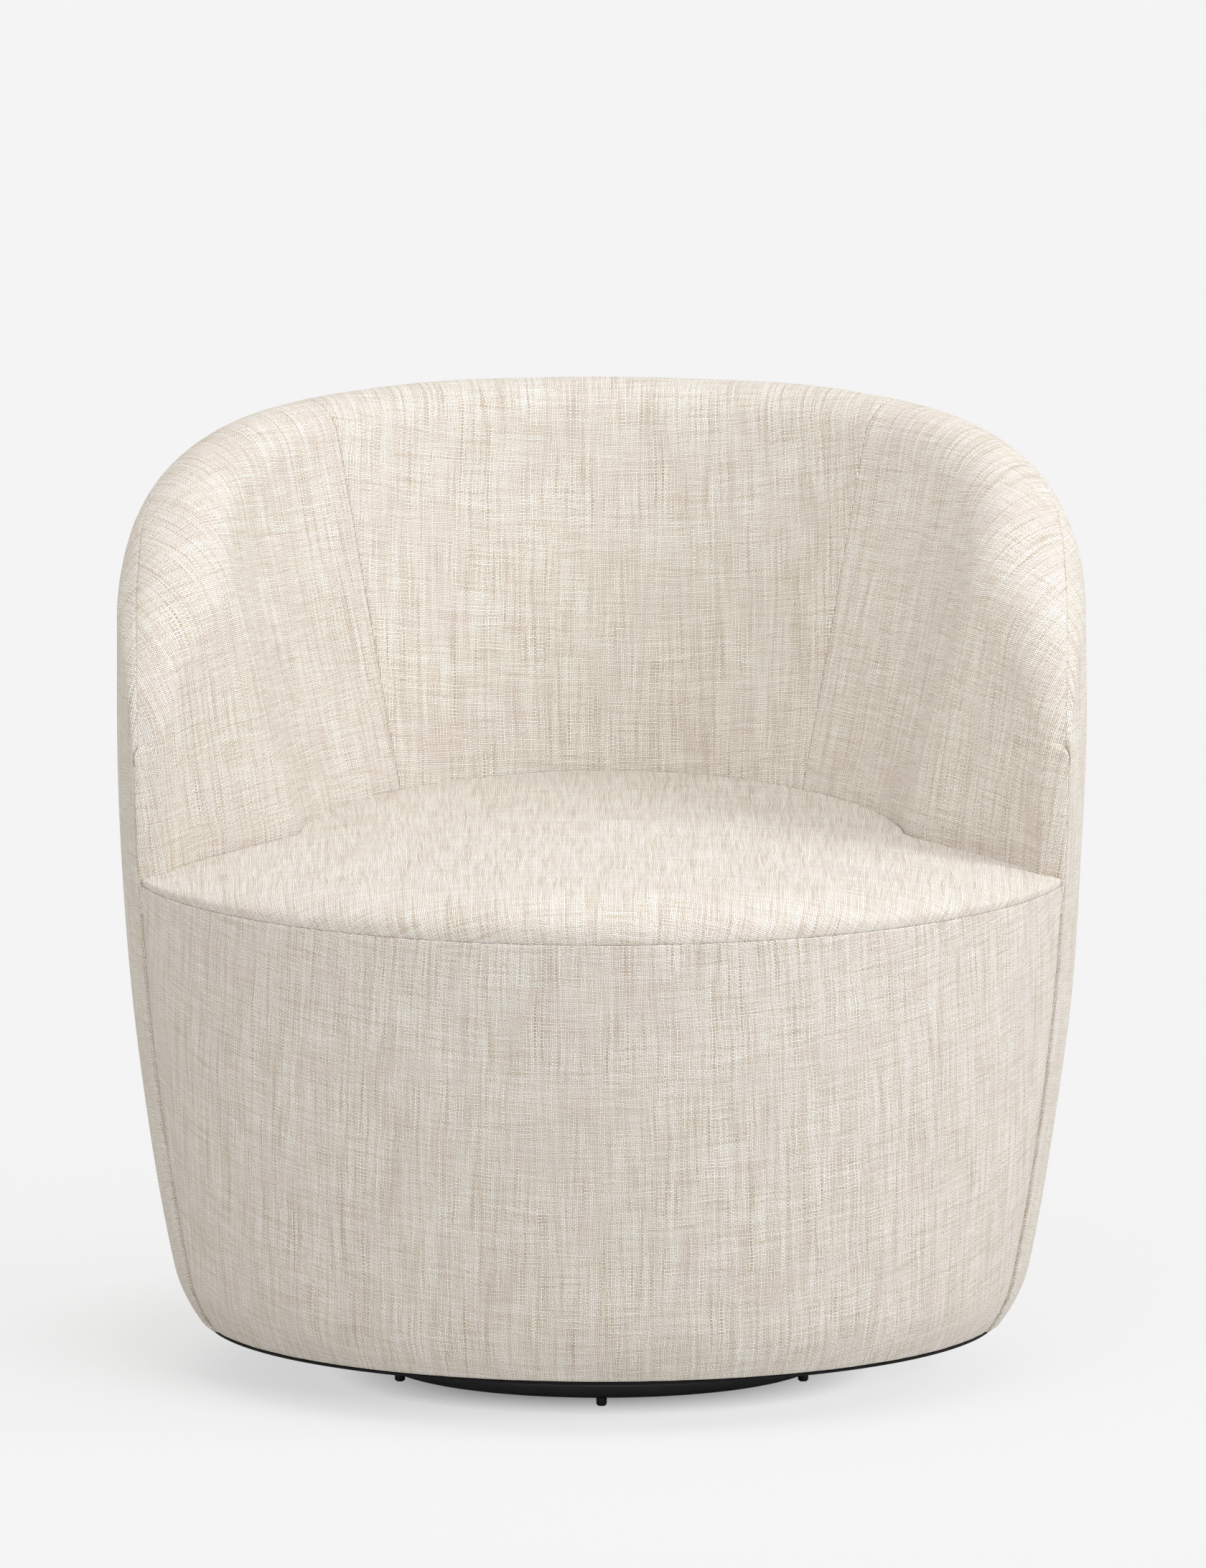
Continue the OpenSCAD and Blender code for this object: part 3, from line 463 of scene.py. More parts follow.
def linen_material():
    """Plain weave of slubbed threads, drawn on the cloth's own map in metres."""
    g = Graph("linen")
    place_on = g.make("ShaderNodeUVMap", uv_map="cloth").outputs[0]
    split = g.make("ShaderNodeSeparateXYZ")
    g.put(split.inputs[0], place_on)
    across, up = (g.math("MULTIPLY", split.outputs[k], 1000.0) for k in (0, 1))

    # The threads wander a little
    flat = g.vector(across, up)
    slow = g.noise(flat, 0.022, 2, dims="2D")
    fine = g.noise(flat, 0.16, 1, dims="2D")
    drift = g.math("ADD", g.span(slow, 0, 1, -1.8, 1.8), g.span(fine, 0, 1, -0.3, 0.3))
    slow2 = g.noise(g.vector(up, across, 7.0), 0.026, 2)
    drift2 = g.math("ADD", g.span(slow2, 0, 1, -2.0, 2.0), g.span(fine, 0, 1, 0.3, -0.3))
    u, v = g.math("ADD", across, drift), g.math("ADD", up, drift2)

    # Where each thread runs, and which of the two lies on top
    tu, tv = g.math("DIVIDE", u, THREAD), g.math("DIVIDE", v, THREAD)
    iu, iv = g.math("FLOOR", tu), g.math("FLOOR", tv)
    fu = g.math("SUBTRACT", g.math("SUBTRACT", tu, iu), 0.5)
    fv = g.math("SUBTRACT", g.math("SUBTRACT", tv, iv), 0.5)
    round_u = g.math("COSINE", g.math("MULTIPLY", fu, math.pi))
    round_v = g.math("COSINE", g.math("MULTIPLY", fv, math.pi))
    weft_on_top = g.math("PINGPONG", g.math("ADD", iu, iv), 1.0)
    warp_h = g.math("MULTIPLY", round_u, g.span(round_v, 0, 1, 0.5, 1))
    weft_h = g.math("MULTIPLY", round_v, g.span(round_u, 0, 1, 0.5, 1))
    top_h = g.make("ShaderNodeMix")
    for socket, value in zip((top_h.inputs[0], *top_h.inputs[2:4]), (weft_on_top, warp_h, weft_h)):
        g.put(socket, value)
    weave_h = top_h.outputs[0]

    # Each crossing of two threads differs a little from the next
    crossing = g.make("ShaderNodeTexWhiteNoise", noise_dimensions="2D")
    g.put(crossing.inputs["Vector"], g.vector(iu, iv))
    each = g.span(crossing.outputs["Value"], 0, 1, -CROSSING_TONE, CROSSING_TONE)

    # Slubs: each thread's tone changes along its length, in bands of a few threads
    def slub(thread, length, reach, seed, detail, rough):
        return g.noise(g.vector(thread, g.math("DIVIDE", length, reach), seed), 1.0, detail, rough)

    def thread_tone(index, length, reach, seed):
        own = slub(g.math("MULTIPLY", index, 0.71), length, reach, seed, 2, 0.55)
        pair = slub(g.math("DIVIDE", index, 1.7), length, reach * 3.4, seed + 3, 2, 0.6)
        lone = slub(g.math("MULTIPLY", index, 3.7), length, reach * 0.8, seed + 9, 1, 0.5)
        tone = g.math("ADD", g.math("MULTIPLY", own, OWN_SHARE), g.math("MULTIPLY", pair, PAIR_SHARE))
        tone = g.math("ADD", tone, g.math("MULTIPLY", lone, LONE_SHARE))
        return g.math("ADD", tone, each)

    warp_tone = thread_tone(iu, v, WARP_REACH, 0.0)
    weft_tone = thread_tone(iv, u, WEFT_REACH, 20.0)
    warp_ramp = [(0.34, srgb(171, 152, 131)), (0.43, srgb(206, 193, 177)), (0.5, srgb(227, 219, 208)),
                 (0.57, srgb(240, 236, 229)), (0.66, srgb(250, 248, 244))]
    weft_ramp = [(0.34, srgb(194, 178, 158)), (0.43, srgb(213, 202, 187)), (0.5, srgb(225, 217, 206)),
                 (0.58, srgb(235, 230, 222)), (0.68, srgb(246, 243, 238))]
    colour = g.mix(weft_on_top, g.ramp(warp_tone, warp_ramp), g.ramp(weft_tone, weft_ramp))

    # Flecks of bast, and slow patches that lean to rose and to straw
    fleck = g.noise(g.vector(g.math("DIVIDE", u, 2.6), g.math("DIVIDE", v, 3.6)), 1.0, 2, 0.6, "2D")
    colour = g.mix(g.span(fleck, 0.62, 0.74, 0, 0.5), colour, srgb(184, 160, 126))
    rose = g.noise(flat, 0.017, 2, 0.6, "2D")
    colour = g.mix(g.span(rose, 0.45, 0.7, 0, 0.22), colour, srgb(222, 203, 203))
    straw = g.noise(g.vector(up, across, 31.0), 0.014, 2, 0.6)
    colour = g.mix(g.span(straw, 0.45, 0.7, 0, 0.16), colour, srgb(214, 208, 186))

    # Painted shade: the holes between threads are darkened, each by its own random amount, and the lines
    # between threads a little
    hole = g.math("MULTIPLY", g.math("SUBTRACT", 1.0, round_u), g.math("SUBTRACT", 1.0, round_v))
    near_hole = g.vector(*(g.math("FLOOR", g.math("ADD", k, 0.5)) for k in (tu, tv)))
    hole_shade_noise = g.make("ShaderNodeTexWhiteNoise", noise_dimensions="2D")
    g.put(hole_shade_noise.inputs["Vector"], near_hole)
    hole_shade_strength = g.span(hole_shade_noise.outputs["Value"], 0.1, 0.95, 0.35, 0.95)
    gap = g.span(weave_h, 0.12, 0.62, 0.0, 1.0)
    dark = g.math("MULTIPLY", g.span(hole, 0.04, 0.55, 0.0, 1.0), hole_shade_strength)
    shade = g.math("MULTIPLY", g.math("SUBTRACT", 1.0, dark), g.span(gap, 0, 1, 0.8, 1.0))
    colour = g.mix(1.0, colour, g.vector(shade, shade, shade), "MULTIPLY")

    # Threads stand up by their weave, and a little more where they are light
    slub_h = g.math("MULTIPLY", g.math("ADD", warp_tone, weft_tone), 0.16)
    normal = g.bump(g.math("ADD", g.math("MULTIPLY", weave_h, 0.22), slub_h), 0.001, 0.55)
    return g.surface(colour, 0.86, normal, Sheen_Weight=0.12, Sheen_Roughness=0.5,
                     Specular_IOR_Level=0.22)


def paint_material():
    g = Graph("black_paint")
    place_on = g.object_place()
    grain = g.noise(place_on, 900, 2, 0.6)
    mottle = g.noise(place_on, 45, 3, 0.6)
    colour = g.mix(g.span(mottle, 0.3, 0.75), srgb(72, 73, 75), srgb(84, 85, 87))
    return g.surface(colour, g.span(mottle, 0.3, 0.7, 0.34, 0.46), g.bump(grain, 0.0002, 0.35))


def plain_material(name, first, second, rough, scale, bump_at, bump_h, **constants):
    """A finish of two near tones in a fine grain."""
    g = Graph(name)
    place_on = g.object_place()
    mottle = g.noise(place_on, scale, 3, 0.6)
    grain = g.noise(place_on, bump_at, 2, 0.6)
    colour = g.mix(g.span(mottle, 0.3, 0.7), first, second)
    return g.surface(colour, g.span(mottle, 0.3, 0.7, rough[0], rough[1]),
                     g.bump(grain, bump_h, 0.6), **constants)


VENEER = 0.0015   # thickness of a plywood layer, in metres


def plywood_material():
    """Thin veneers, seen on the cut edges, and a long grain along the faces."""
    g = Graph("plywood")
    place_on = g.object_place()
    split = g.make("ShaderNodeSeparateXYZ")
    g.put(split.inputs[0], place_on)
    stretched = g.vector(*(g.math("MULTIPLY", split.outputs[k], waves)
                           for k, waves in enumerate((9, 220, 30))))
    grain = g.noise(stretched, 1.0, 4, 0.6)
    layer = g.math("PINGPONG", g.math("DIVIDE", split.outputs[2], VENEER), 1.0)
    colour = g.ramp(grain, [(0.3, srgb(178, 142, 98)), (0.5, srgb(205, 172, 126)),
                            (0.7, srgb(222, 194, 150))])
    colour = g.mix(g.span(layer, 0.3, 0.7, 0, 0.25), colour, srgb(150, 112, 70))
    return g.surface(colour, 0.62, g.bump(grain, 0.0003, 0.5))


def foam_material():
    g = Graph("foam")
    cells = g.make("ShaderNodeTexVoronoi")
    g.put(cells.inputs["Vector"], g.object_place())
    g.put(cells.inputs["Scale"], 420.0)
    # Painted shade: the colour is darker in the pits at the cells' middles, where the bump is lowest
    depth = g.span(cells.outputs["Distance"], 0, 0.6)
    colour = g.mix(depth, srgb(214, 200, 158), srgb(240, 230, 196))
    return g.surface(colour, 0.9, g.bump(depth, 0.0006, 0.7), Specular_IOR_Level=0.2)


LINEN = linen_material()
PAINT = paint_material()
PLYWOOD = plywood_material()
FOAM = foam_material()
NYLON = plain_material(
    "dark_nylon", srgb(30, 30, 32), srgb(44, 44, 46), (0.42, 0.55), 60, 1500, 0.0001)
BLACK_CLOTH = plain_material(
    "black_cloth", srgb(16, 16, 17), srgb(30, 30, 31), (0.85, 0.95), 260, 1100, 0.0005,
    Specular_IOR_Level=0.2)
BOARD = plain_material(
    "fibreboard", srgb(122, 92, 64), srgb(160, 126, 92), (0.75, 0.9), 420, 1300, 0.0003)
ZINC, STEEL, SPRING_STEEL, BALL_STEEL = (
    plain_material(name, srgb(*dark), srgb(*light), rough, scale, bump_at, bump_h, Metallic=1.0)
    for name, dark, light, rough, scale, bump_at, bump_h in (
        ("zinc", (176, 180, 186), (204, 206, 208), (0.28, 0.42), 85, 1600, 0.0001),
        ("steel", (140, 142, 146), (168, 169, 172), (0.3, 0.42), 140, 2400, 0.0001),
        ("spring_steel", (70, 72, 78), (110, 112, 118), (0.3, 0.5), 160, 900, 0.0001),
        ("ball_steel", (205, 207, 210), (222, 223, 226), (0.06, 0.12), 200, 3000, 0.00002)))

CAD_FINISH = {
    PAINT: ["base_ring", "base_plate", "base_arms"],
    NYLON: ["glides", "ball_cage"],
    ZINC: ["lower_race", "upper_race", "king_washer", "king_nut", "base_bolts", "base_nuts",
           "bearing_bolts", "t_nuts", "frame_screws", "spring_clips"],
    STEEL: ["king_pin"],
    BALL_STEEL: ["bearing_balls"],
    SPRING_STEEL: ["seat_springs"],
    BLACK_CLOTH: ["dust_cover"],
    PLYWOOD: ["bottom_board", "front_ribs", "arm_front_ribs", "arm_ribs", "corner_ribs", "back_ribs",
              "deck_ring", "front_rail", "top_rail", "spring_rails"],
    BOARD: ["outer_skin", "front_skin", "inner_skin"],
}
for finish, names in CAD_FINISH.items():
    for node_name in names:
        nodes[node_name].data.materials.clear()
        nodes[node_name].data.materials.append(finish)


def dress(piece, material, stands_for, body="seat"):
    piece.data.materials.clear()
    piece.data.materials.append(material)
    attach(piece, body)
    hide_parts(*stands_for)
    return piece


# the covers
STEP = 6.5
FOLD = (3.4, 1.5)      # width and depth of a folded edge at a seam
EDGE = (2.6, 1.1)      # the outer cover's own edges
UNDER = (5.0, 3.6)     # where the cloth turns in under the rim
SIDE, TOP = (2.0, 0.8), (2.4, 1.0)   # the front band's sides and its top
WIDE_STEP = 1.2        # how much wider the outer cover's grid is
BACK_GRID_R = 300      # where the back cover's columns are STEP apart
# The fold at the outer seam grows shallow at the front edge, and the one down the
# front at its top: over what run, and to what share
TOP_FOLD_RUN, LEAST_TOP_FOLD = 4, 0.12
FRONT_FOLD_RUN, FRONT_FOLD_START, LEAST_FRONT_FOLD = 40, 0.2, 0.15
# How far the cloth of an arm front starts inside the outer cover, and its columns
NOSE_TUCK, NOSE_TUCK_BELOW, NOSE_TUCK_RUN, NOSE_STEP = 0.3, 1.3, 8, 3.0
# The rounding of an arm front: degrees past the edge, rounds, share of each round,
# and the columns over which it fades
ROUND_PAST, ROUNDS, ROUND_SHARE, ROUND_COLUMNS = 0.8, 6, 0.5, 5.0
# How far below the top seam the rounding and the swell are whole
NOSE_TOP_RUN = 16
SWELL_RISE = 1.25      # the swell is whole at 1 / SWELL_RISE of the arm front's width
SWELL_FADE = 4.0       # and fades over this many degrees of the arm
NOSE_BACK, NOSE_WALL = 2.0, 0.8   # how far the first column stays back, its cloth's wall
LEFT_CLOTH_SHIFT = 0.9   # in metres, so that the two arms differ in their threads


def top_fold(a):
    """The fold along the outer seam, shallower where the seam falls steeply."""
    steep = np.clip((turned(a) - FRONT_EDGE) / (CORNER_SPAN + TOP_FOLD_RUN), LEAST_TOP_FOLD, 1)
    return FOLD[0], FOLD[1] * steep[:, None]


def front_fold(points):
    """The fold down the front edge, shallower near its top."""
    up = along(points, 1)[0]
    share = (up[-1] - up) / FRONT_FOLD_RUN - FRONT_FOLD_START
    return EDGE[0], EDGE[1] * np.clip(share, LEAST_FRONT_FOLD, 1)[None]


def outer_cover():
    arm = arm_angles(STEP)
    back = angles_between(CORNER_SEAM, 360 - CORNER_SEAM, BARREL_R, STEP * WIDE_STEP)
    a = np.concatenate([arm, back[1:-1], 360 - arm[::-1]])
    points = outside_path(a, STEP * WIDE_STEP)
    uv = cloth_map(points, len(a) // 2)
    edge = front_fold(points)
    sink = relief(points, 1, (edge, edge, UNDER, top_fold(a)), soft=0.4)
    piece = cover("outer_cover_cloth", points, (0, 1, 0), uv, sink)
    dress(piece, LINEN, ["outer_cover"])


def front_band():
    end = FRONT_EDGE - math.degrees(SEAM_GAP / shell_r(SEAT_SEAM_H))
    a = angles_between(-end, end, BARREL_R, STEP)
    points = outside_path(a, STEP, inset=BAND_INSET, top=SEAT_SEAM_H)
    uv = cloth_map(points, len(a) // 2)
    sink = relief(points, 2, (SIDE, SIDE, UNDER, TOP), soft=0.4)
    piece = cover("front_band_cloth", points, (0, -1, 0), uv, sink)
    dress(piece, LINEN, ["front_band"])


def back_cover():
    shift = math.degrees(SEAM_GAP / SEAT_R)
    a = angles_between(CORNER_SEAM + shift, 360 - CORNER_SEAM - shift, BACK_GRID_R, STEP)
    points, _ = inside_path(a, STEP)
    uv = cloth_map(points, len(a) // 2)
    sink = relief(points, 3, (FOLD, FOLD, None, FOLD), soft=0.6)
    piece = cover("back_cover_cloth", points, (0, -1, 0), uv, sink)
    dress(piece, LINEN, ["back_cover"])


def nose_columns(first_column, s):
    """Columns that close the front of an arm, from the outer seam to its face."""
    a = np.array([FRONT_EDGE])
    c, h, r = (v[0] for v in roll(a))
    start = math.radians(OUTER_SEAM)
    radius = np.hypot(first_column[:, 0], first_column[:, 1])
    z = first_column[:, 2]
    turn = math.pi - lean(a)[0] - start
    over_top = np.clip(s - s.max() + turn * r, 0, None) / r
    sweep = over_top / turn
    taken_in = NOSE_EDGE_IN * (1 - sweep)
    seam_r = np.where(over_top > 0, c + (r - taken_in) * np.cos(start * sweep), shell_r(z) - taken_in)
    seam_z = np.where(over_top > 0, h + (r - taken_in) * np.sin(start * sweep), z)
    shares = run_of(NOSE_T, NOSE_STEP)[0] / NOSE_T
    # The cloth starts inside the outer cover's folded edge
    beside = np.where(over_top > 0, 0, np.clip((h - z) / NOSE_TUCK_RUN, 0, 1))
    columns = [place(FRONT_EDGE, seam_r + taken_in - NOSE_TUCK - NOSE_TUCK_BELOW * beside, seam_z)]
    for share in shares[:-1]:
        at_r = seam_r + (radius - seam_r) * share
        at_z = seam_z + (z - seam_z) * share
        columns.append(place(FRONT_EDGE, at_r, at_z))
    return np.array(columns)


def arm_cover(side):
    a = arm_angles(STEP)
    points, s = inside_path(a, STEP)
    nose = nose_columns(points[0], s[0])
    points = np.concatenate([nose, points])
    # Round the nose: the columns near the front edge are eased along the rows
    n = len(nose)
    last = n + int(np.searchsorted(a, FRONT_EDGE + ROUND_PAST))
    weight = np.zeros(len(points))
    weight[2:last] = np.minimum(1, np.arange(last - 2, 0, -1) / ROUND_COLUMNS)
    weight[2:4] = [0.2, 0.6]
    # The seam along the top stays where the outer cover meets it
    below = np.clip((s[0].max() - s[0]) / NOSE_TOP_RUN, 0, 1)
    below = below * below * (3 - 2 * below)
    for _ in range(ROUNDS):
        mean = points.copy()
        mean[1:-1] = (points[:-2] + points[2:]) / 2
        points = points + (mean - points) * (ROUND_SHARE * weight[:, None] * below)[..., None]
    # The columns stand forward a little, as far as the padding behind them swells
    t = math.radians(FRONT_EDGE)
    ahead = np.array([-math.cos(t), -math.sin(t), 0])
    share = np.maximum(0, np.arange(n) - 1) / (n - 1)
    full = np.sin(np.clip(share * SWELL_RISE, 0, 1) * math.pi / 2)
    rise = NOSE_EDGE_OUT + (NOSE_SWELL - NOSE_EDGE_OUT) * full
    swell = np.concatenate([rise, NOSE_SWELL * np.clip(1 - (a - FRONT_EDGE) / SWELL_FADE, 0, 1) ** 2])
    points += (swell[:, None] * below)[..., None] * ahead
    points[0] -= (NOSE_BACK + NOSE_EDGE_OUT * below)[:, None] * ahead
    points[:, :, 0] *= side
    uv = cloth_map(points, n + len(a) // 4)
    if side < 0:
        uv[..., 0] = -uv[..., 0] + LEFT_CLOTH_SHIFT
    top = top_fold(np.concatenate([np.full(n, FRONT_EDGE), a]))
    sink = relief(points, 5 + side, (front_fold(points), FOLD, None, top), soft=0.6, pucker=0.1)
    nose_thick = NOSE_WALL + (CLOTH_T - NOSE_WALL) * share ** 2
    thick = np.concatenate([nose_thick, np.full(len(a), CLOTH_T)])[:, None]
    name = ("right" if side > 0 else "left") + "_arm_cover"
    piece = cover(name + "_cloth", points, (-side, 0, 0), uv, sink, thick)
    dress(piece, LINEN, [name])


# the seat
FRONT_R = shell_r(np.array(SEAT_SEAM_H)) - BAND_INSET
SEAT_EASE_FROM, SEAT_STEP_POWER = 50, 12   # in degrees, and how fast the step fades
SEAT_SPREAD = math.pi / 2 * 0.94   # how close together the grid's outer rows lie
MAP_STEPS = 40         # over which the cloth's length is measured
SEAT_TUCK_UP = 0.9     # how far above TUCK_H the hem ends beside arms and back
UNDER_SHARE = 0.985    # width of the seat's underside against its top
# The hem's rows: the share of the way down, and how far in
SEAT_HEM = ((0.4, 0.0), (0.75, 0.2), (0.92, 0.6), (1.0, 1.2), (1.0, CLOTH_T + 1))


def seat_edge(a, share=1.0):
    """Radius of the seat's edge; it steps in where the arm fronts stand, and that
    step fades away from the edge inwards."""
    inner = face_r(a, np.array(DECK_H)) - SEAM_GAP
    at_nose = face_r(np.array(FRONT_EDGE), np.array(DECK_H)) - SEAM_GAP
    sharp = np.where(turned(a) < FRONT_EDGE, FRONT_R, inner)
    eased = np.where(turned(a) < FRONT_EDGE,
                     np.interp(turned(a), [SEAT_EASE_FROM, FRONT_EDGE], [FRONT_R, at_nose]), inner)
    return eased + (sharp - eased) * share ** SEAT_STEP_POWER


def seat_top(x, y):
    """Height of the crowned seat over a place, in millimetres."""
    r = np.hypot(x, y)
    a = np.degrees(np.arctan2(x, -y))
    t = math.radians(FRONT_EDGE)
    corner = FRONT_R * np.array([math.sin(t), -math.cos(t)])
    d = np.where(turned(a) < FRONT_EDGE, FRONT_R - r, np.hypot(abs(x) - corner[0], y - corner[1]))
    u = np.clip(d / CROWN_RUN, 0, 1)
    rise = CROWN_H * (1 - (x / FRONT_R) ** 2) * np.sqrt(np.maximum(0, 1 - (1 - u) ** 2))
    return SEAT_SEAM_H + SEAM_LIP + rise


def seat_cover():
    n = 130
    line = np.sin(np.linspace(-1, 1, n) * SEAT_SPREAD) / math.sin(SEAT_SPREAD)
    p, q = np.meshgrid(line, line, indexing="ij")
    x = p * np.sqrt(1 - q * q / 2)
    y = q * np.sqrt(1 - p * p / 2)
    share, a = np.hypot(x, y), np.degrees(np.arctan2(x, -y))
    # One point of the edge stands on each side of the step at the arm front
    rim = np.sort(turned(a[0]))
    k = int(np.searchsorted(rim, FRONT_EDGE))
    before = FRONT_EDGE - math.degrees((NOSE_SWELL + SEAM_GAP) / FRONT_R)
    a = np.sign(a) * np.interp(abs(a), [0, rim[k - 1], rim[k], 180], [0, before, FRONT_EDGE, 180])
    r = share * seat_edge(a, share)
    x, y = r * np.sin(np.radians(a)), -r * np.cos(np.radians(a))
    points = np.stack([x, y, seat_top(x, y)], -1)
    # The cloth's map keeps the length of the cloth from the middle outwards
    out = np.linspace(0, 1, MAP_STEPS + 1)
    lift = seat_top(x[..., None] * out, y[..., None] * out)
    length = np.hypot(np.hypot(x, y)[..., None] / MAP_STEPS, np.diff(lift, axis=-1)).sum(-1)
    uv = np.stack([x, y], -1) * (length / np.maximum(np.hypot(x, y), 1e-6))[..., None] * MM
    points[..., 2] += uneven(points, seed=11, amplitude=0.5, wave=140)
    piece = seat_body(points, uv)
    dress(piece, LINEN, ["seat_cover"])


def seat_body(points, uv):
    """The seat's top with its folded hem below, closed underneath."""
    n = len(points)
    rim = rim_of(n, n)
    at = tuple(np.array(rim).T)
    edge, edge_uv = points[at], uv[at]
    ring = [i * n + j for i, j in rim]
    verts = [points.reshape(-1, 3)]
    uvs = [uv.reshape(-1, 2)]
    faces = sheet_faces(n, n)
    a = np.degrees(np.arctan2(edge[:, 0], -edge[:, 1]))
    front = turned(a) < FRONT_EDGE
    low = np.where(front, SEAT_SEAM_H + SEAM_GAP, TUCK_H + SEAT_TUCK_UP)
    out = edge[:, :2] / np.linalg.norm(edge[:, :2], axis=1)[:, None]
    count = n * n
    for share, inward in SEAT_HEM:
        ring_points = edge.copy()
        ring_points[:, 2] = edge[:, 2] + (low - edge[:, 2]) * share
        ring_points[:, :2] -= out * inward
        verts.append(ring_points)
        uvs.append(edge_uv + out * (edge[:, 2] - ring_points[:, 2])[:, None] * MM)
        new = list(range(count, count + len(rim)))
        faces += band_between(ring, new)
        ring, count = new, count + len(rim)
    under = points.copy()
    under[..., :2] *= UNDER_SHARE
    under[..., 2] -= CLOTH_T
    verts.append(under.reshape(-1, 3))
    uvs.append(uv.reshape(-1, 2))
    faces += sheet_faces(n, n, count, True)
    faces += band_between(ring, [count + i * n + j for i, j in rim])
    return finish_mesh("seat_cover_cloth", np.concatenate(verts), faces, np.concatenate(uvs))


outer_cover()
front_band()
back_cover()
for arm_side in (1, -1):
    arm_cover(arm_side)
seat_cover()


# soft pieces underneath
def soft_copy(node_name, material):
    """A copy of a hidden soft piece, its doubled points merged."""
    mesh = nodes[node_name].data.copy()
    piece = bpy.data.objects.new(node_name + "_piece", mesh)
    scene.collection.objects.link(piece)
    work = bmesh.new()
    work.from_mesh(mesh)
    bmesh.ops.remove_doubles(work, verts=work.verts, dist=1e-5)
    for face in work.faces:
        face.smooth = False
    work.to_mesh(mesh)
    work.free()
    for key in list(piece.keys()):
        del piece[key]
    return dress(piece, material, [node_name])


for foam_name in ("seat_foam", "back_foam", "left_arm_foam", "right_arm_foam"):
    soft_copy(foam_name, FOAM)
deck = soft_copy("deck_cloth", BLACK_CLOTH)


# the staples that hold the dust cover to the bottom board
# Shift in metres, turn, and how far out on the crown the legs stand
STAPLE_SHIFT, STAPLE_TURN, STAPLE_LEG_AT = 0.0008, 0.15, 0.45


def staple_tree():
    """A ring of wire staples, each turned and shifted a little by the seed."""
    tree = bpy.data.node_groups.new("dust_cover_staples", "GeometryNodeTree")
    tree.interface.new_socket("Ring", in_out="OUTPUT", socket_type="NodeSocketGeometry")
    tree.interface.new_socket("Start", in_out="INPUT", socket_type="NodeSocketGeometry")
    for label, kind in (("Count", "Int"), ("Ring radius", "Float"), ("Cloth height", "Float"),
                        ("Crown length", "Float"), ("Wire", "Float"), ("Leg length", "Float"),
                        ("Seed", "Int")):
        tree.interface.new_socket(label, in_out="INPUT", socket_type="NodeSocket" + kind)

    def make(kind, *values, **settings):
        node = tree.nodes.new(kind)
        for key, value in settings.items():
            setattr(node, key, value)
        for key, value in values:
            if isinstance(value, bpy.types.NodeSocket):
                tree.links.new(value, node.inputs[key])
            else:
                node.inputs[key].default_value = value
        return node

    given = make("NodeGroupInput").outputs

    def either_way(most):
        return make("FunctionNodeRandomValue", (0, (-most, -most, 0.0)), (1, (most, most, 0.0)),
                    ("Seed", given["Seed"]), data_type="FLOAT_VECTOR").outputs[0]

    ring = make("GeometryNodeMeshCircle", ("Vertices", given["Count"]), ("Radius", given["Ring radius"]))
    level = make("ShaderNodeCombineXYZ", ("Z", given["Cloth height"]))
    moved = make("ShaderNodeVectorMath", (0, either_way(STAPLE_SHIFT)), (1, level.outputs[0]),
                 operation="ADD")
    placed = make("GeometryNodeSetPosition", ("Geometry", ring.outputs["Mesh"]),
                  ("Offset", moved.outputs[0]))
    here = make("GeometryNodeInputPosition")
    round_it = make("ShaderNodeVectorMath", (0, here.outputs[0]), (1, (0.0, 0.0, 1.0)),
                    operation="CROSS_PRODUCT")
    unit = make("ShaderNodeVectorMath", (0, round_it.outputs[0]), operation="NORMALIZE")
    heading = make("ShaderNodeVectorMath", (0, unit.outputs[0]), (1, either_way(STAPLE_TURN)),
                   operation="ADD")
    facing = make("FunctionNodeAlignRotationToVector", ("Vector", heading.outputs[0]),
                  axis="X", pivot_axis="Z")
    crown_size = make("ShaderNodeCombineXYZ", ("X", given["Crown length"]), ("Y", given["Wire"]),
                      ("Z", given["Wire"]))
    crown = make("GeometryNodeMeshCube", ("Size", crown_size.outputs[0]))
    leg_size = make("ShaderNodeCombineXYZ", ("X", given["Wire"]), ("Y", given["Wire"]),
                    ("Z", given["Leg length"]))
    leg = make("GeometryNodeMeshCube", ("Size", leg_size.outputs[0]))
    rise = make("ShaderNodeMath", (0, given["Leg length"]), (1, 0.5), operation="MULTIPLY")
    staple = make("GeometryNodeJoinGeometry")
    tree.links.new(crown.outputs["Mesh"], staple.inputs[0])
    for side in (STAPLE_LEG_AT, -STAPLE_LEG_AT):
        along_x = make("ShaderNodeMath", (0, given["Crown length"]), (1, side), operation="MULTIPLY")
        at = make("ShaderNodeCombineXYZ", ("X", along_x.outputs[0]), ("Z", rise.outputs[0]))
        set_leg = make("GeometryNodeTransform", ("Geometry", leg.outputs["Mesh"]),
                       ("Translation", at.outputs[0]))
        tree.links.new(set_leg.outputs[0], staple.inputs[0])
    many = make("GeometryNodeInstanceOnPoints", ("Points", placed.outputs[0]),
                ("Instance", staple.outputs[0]), ("Rotation", facing.outputs[0]))
    solid = make("GeometryNodeRealizeInstances", ("Geometry", many.outputs[0]))
    finished = make("GeometryNodeSetMaterial", ("Geometry", solid.outputs[0]), ("Material", ZINC))
    make("NodeGroupOutput", (0, finished.outputs[0]))
    return tree


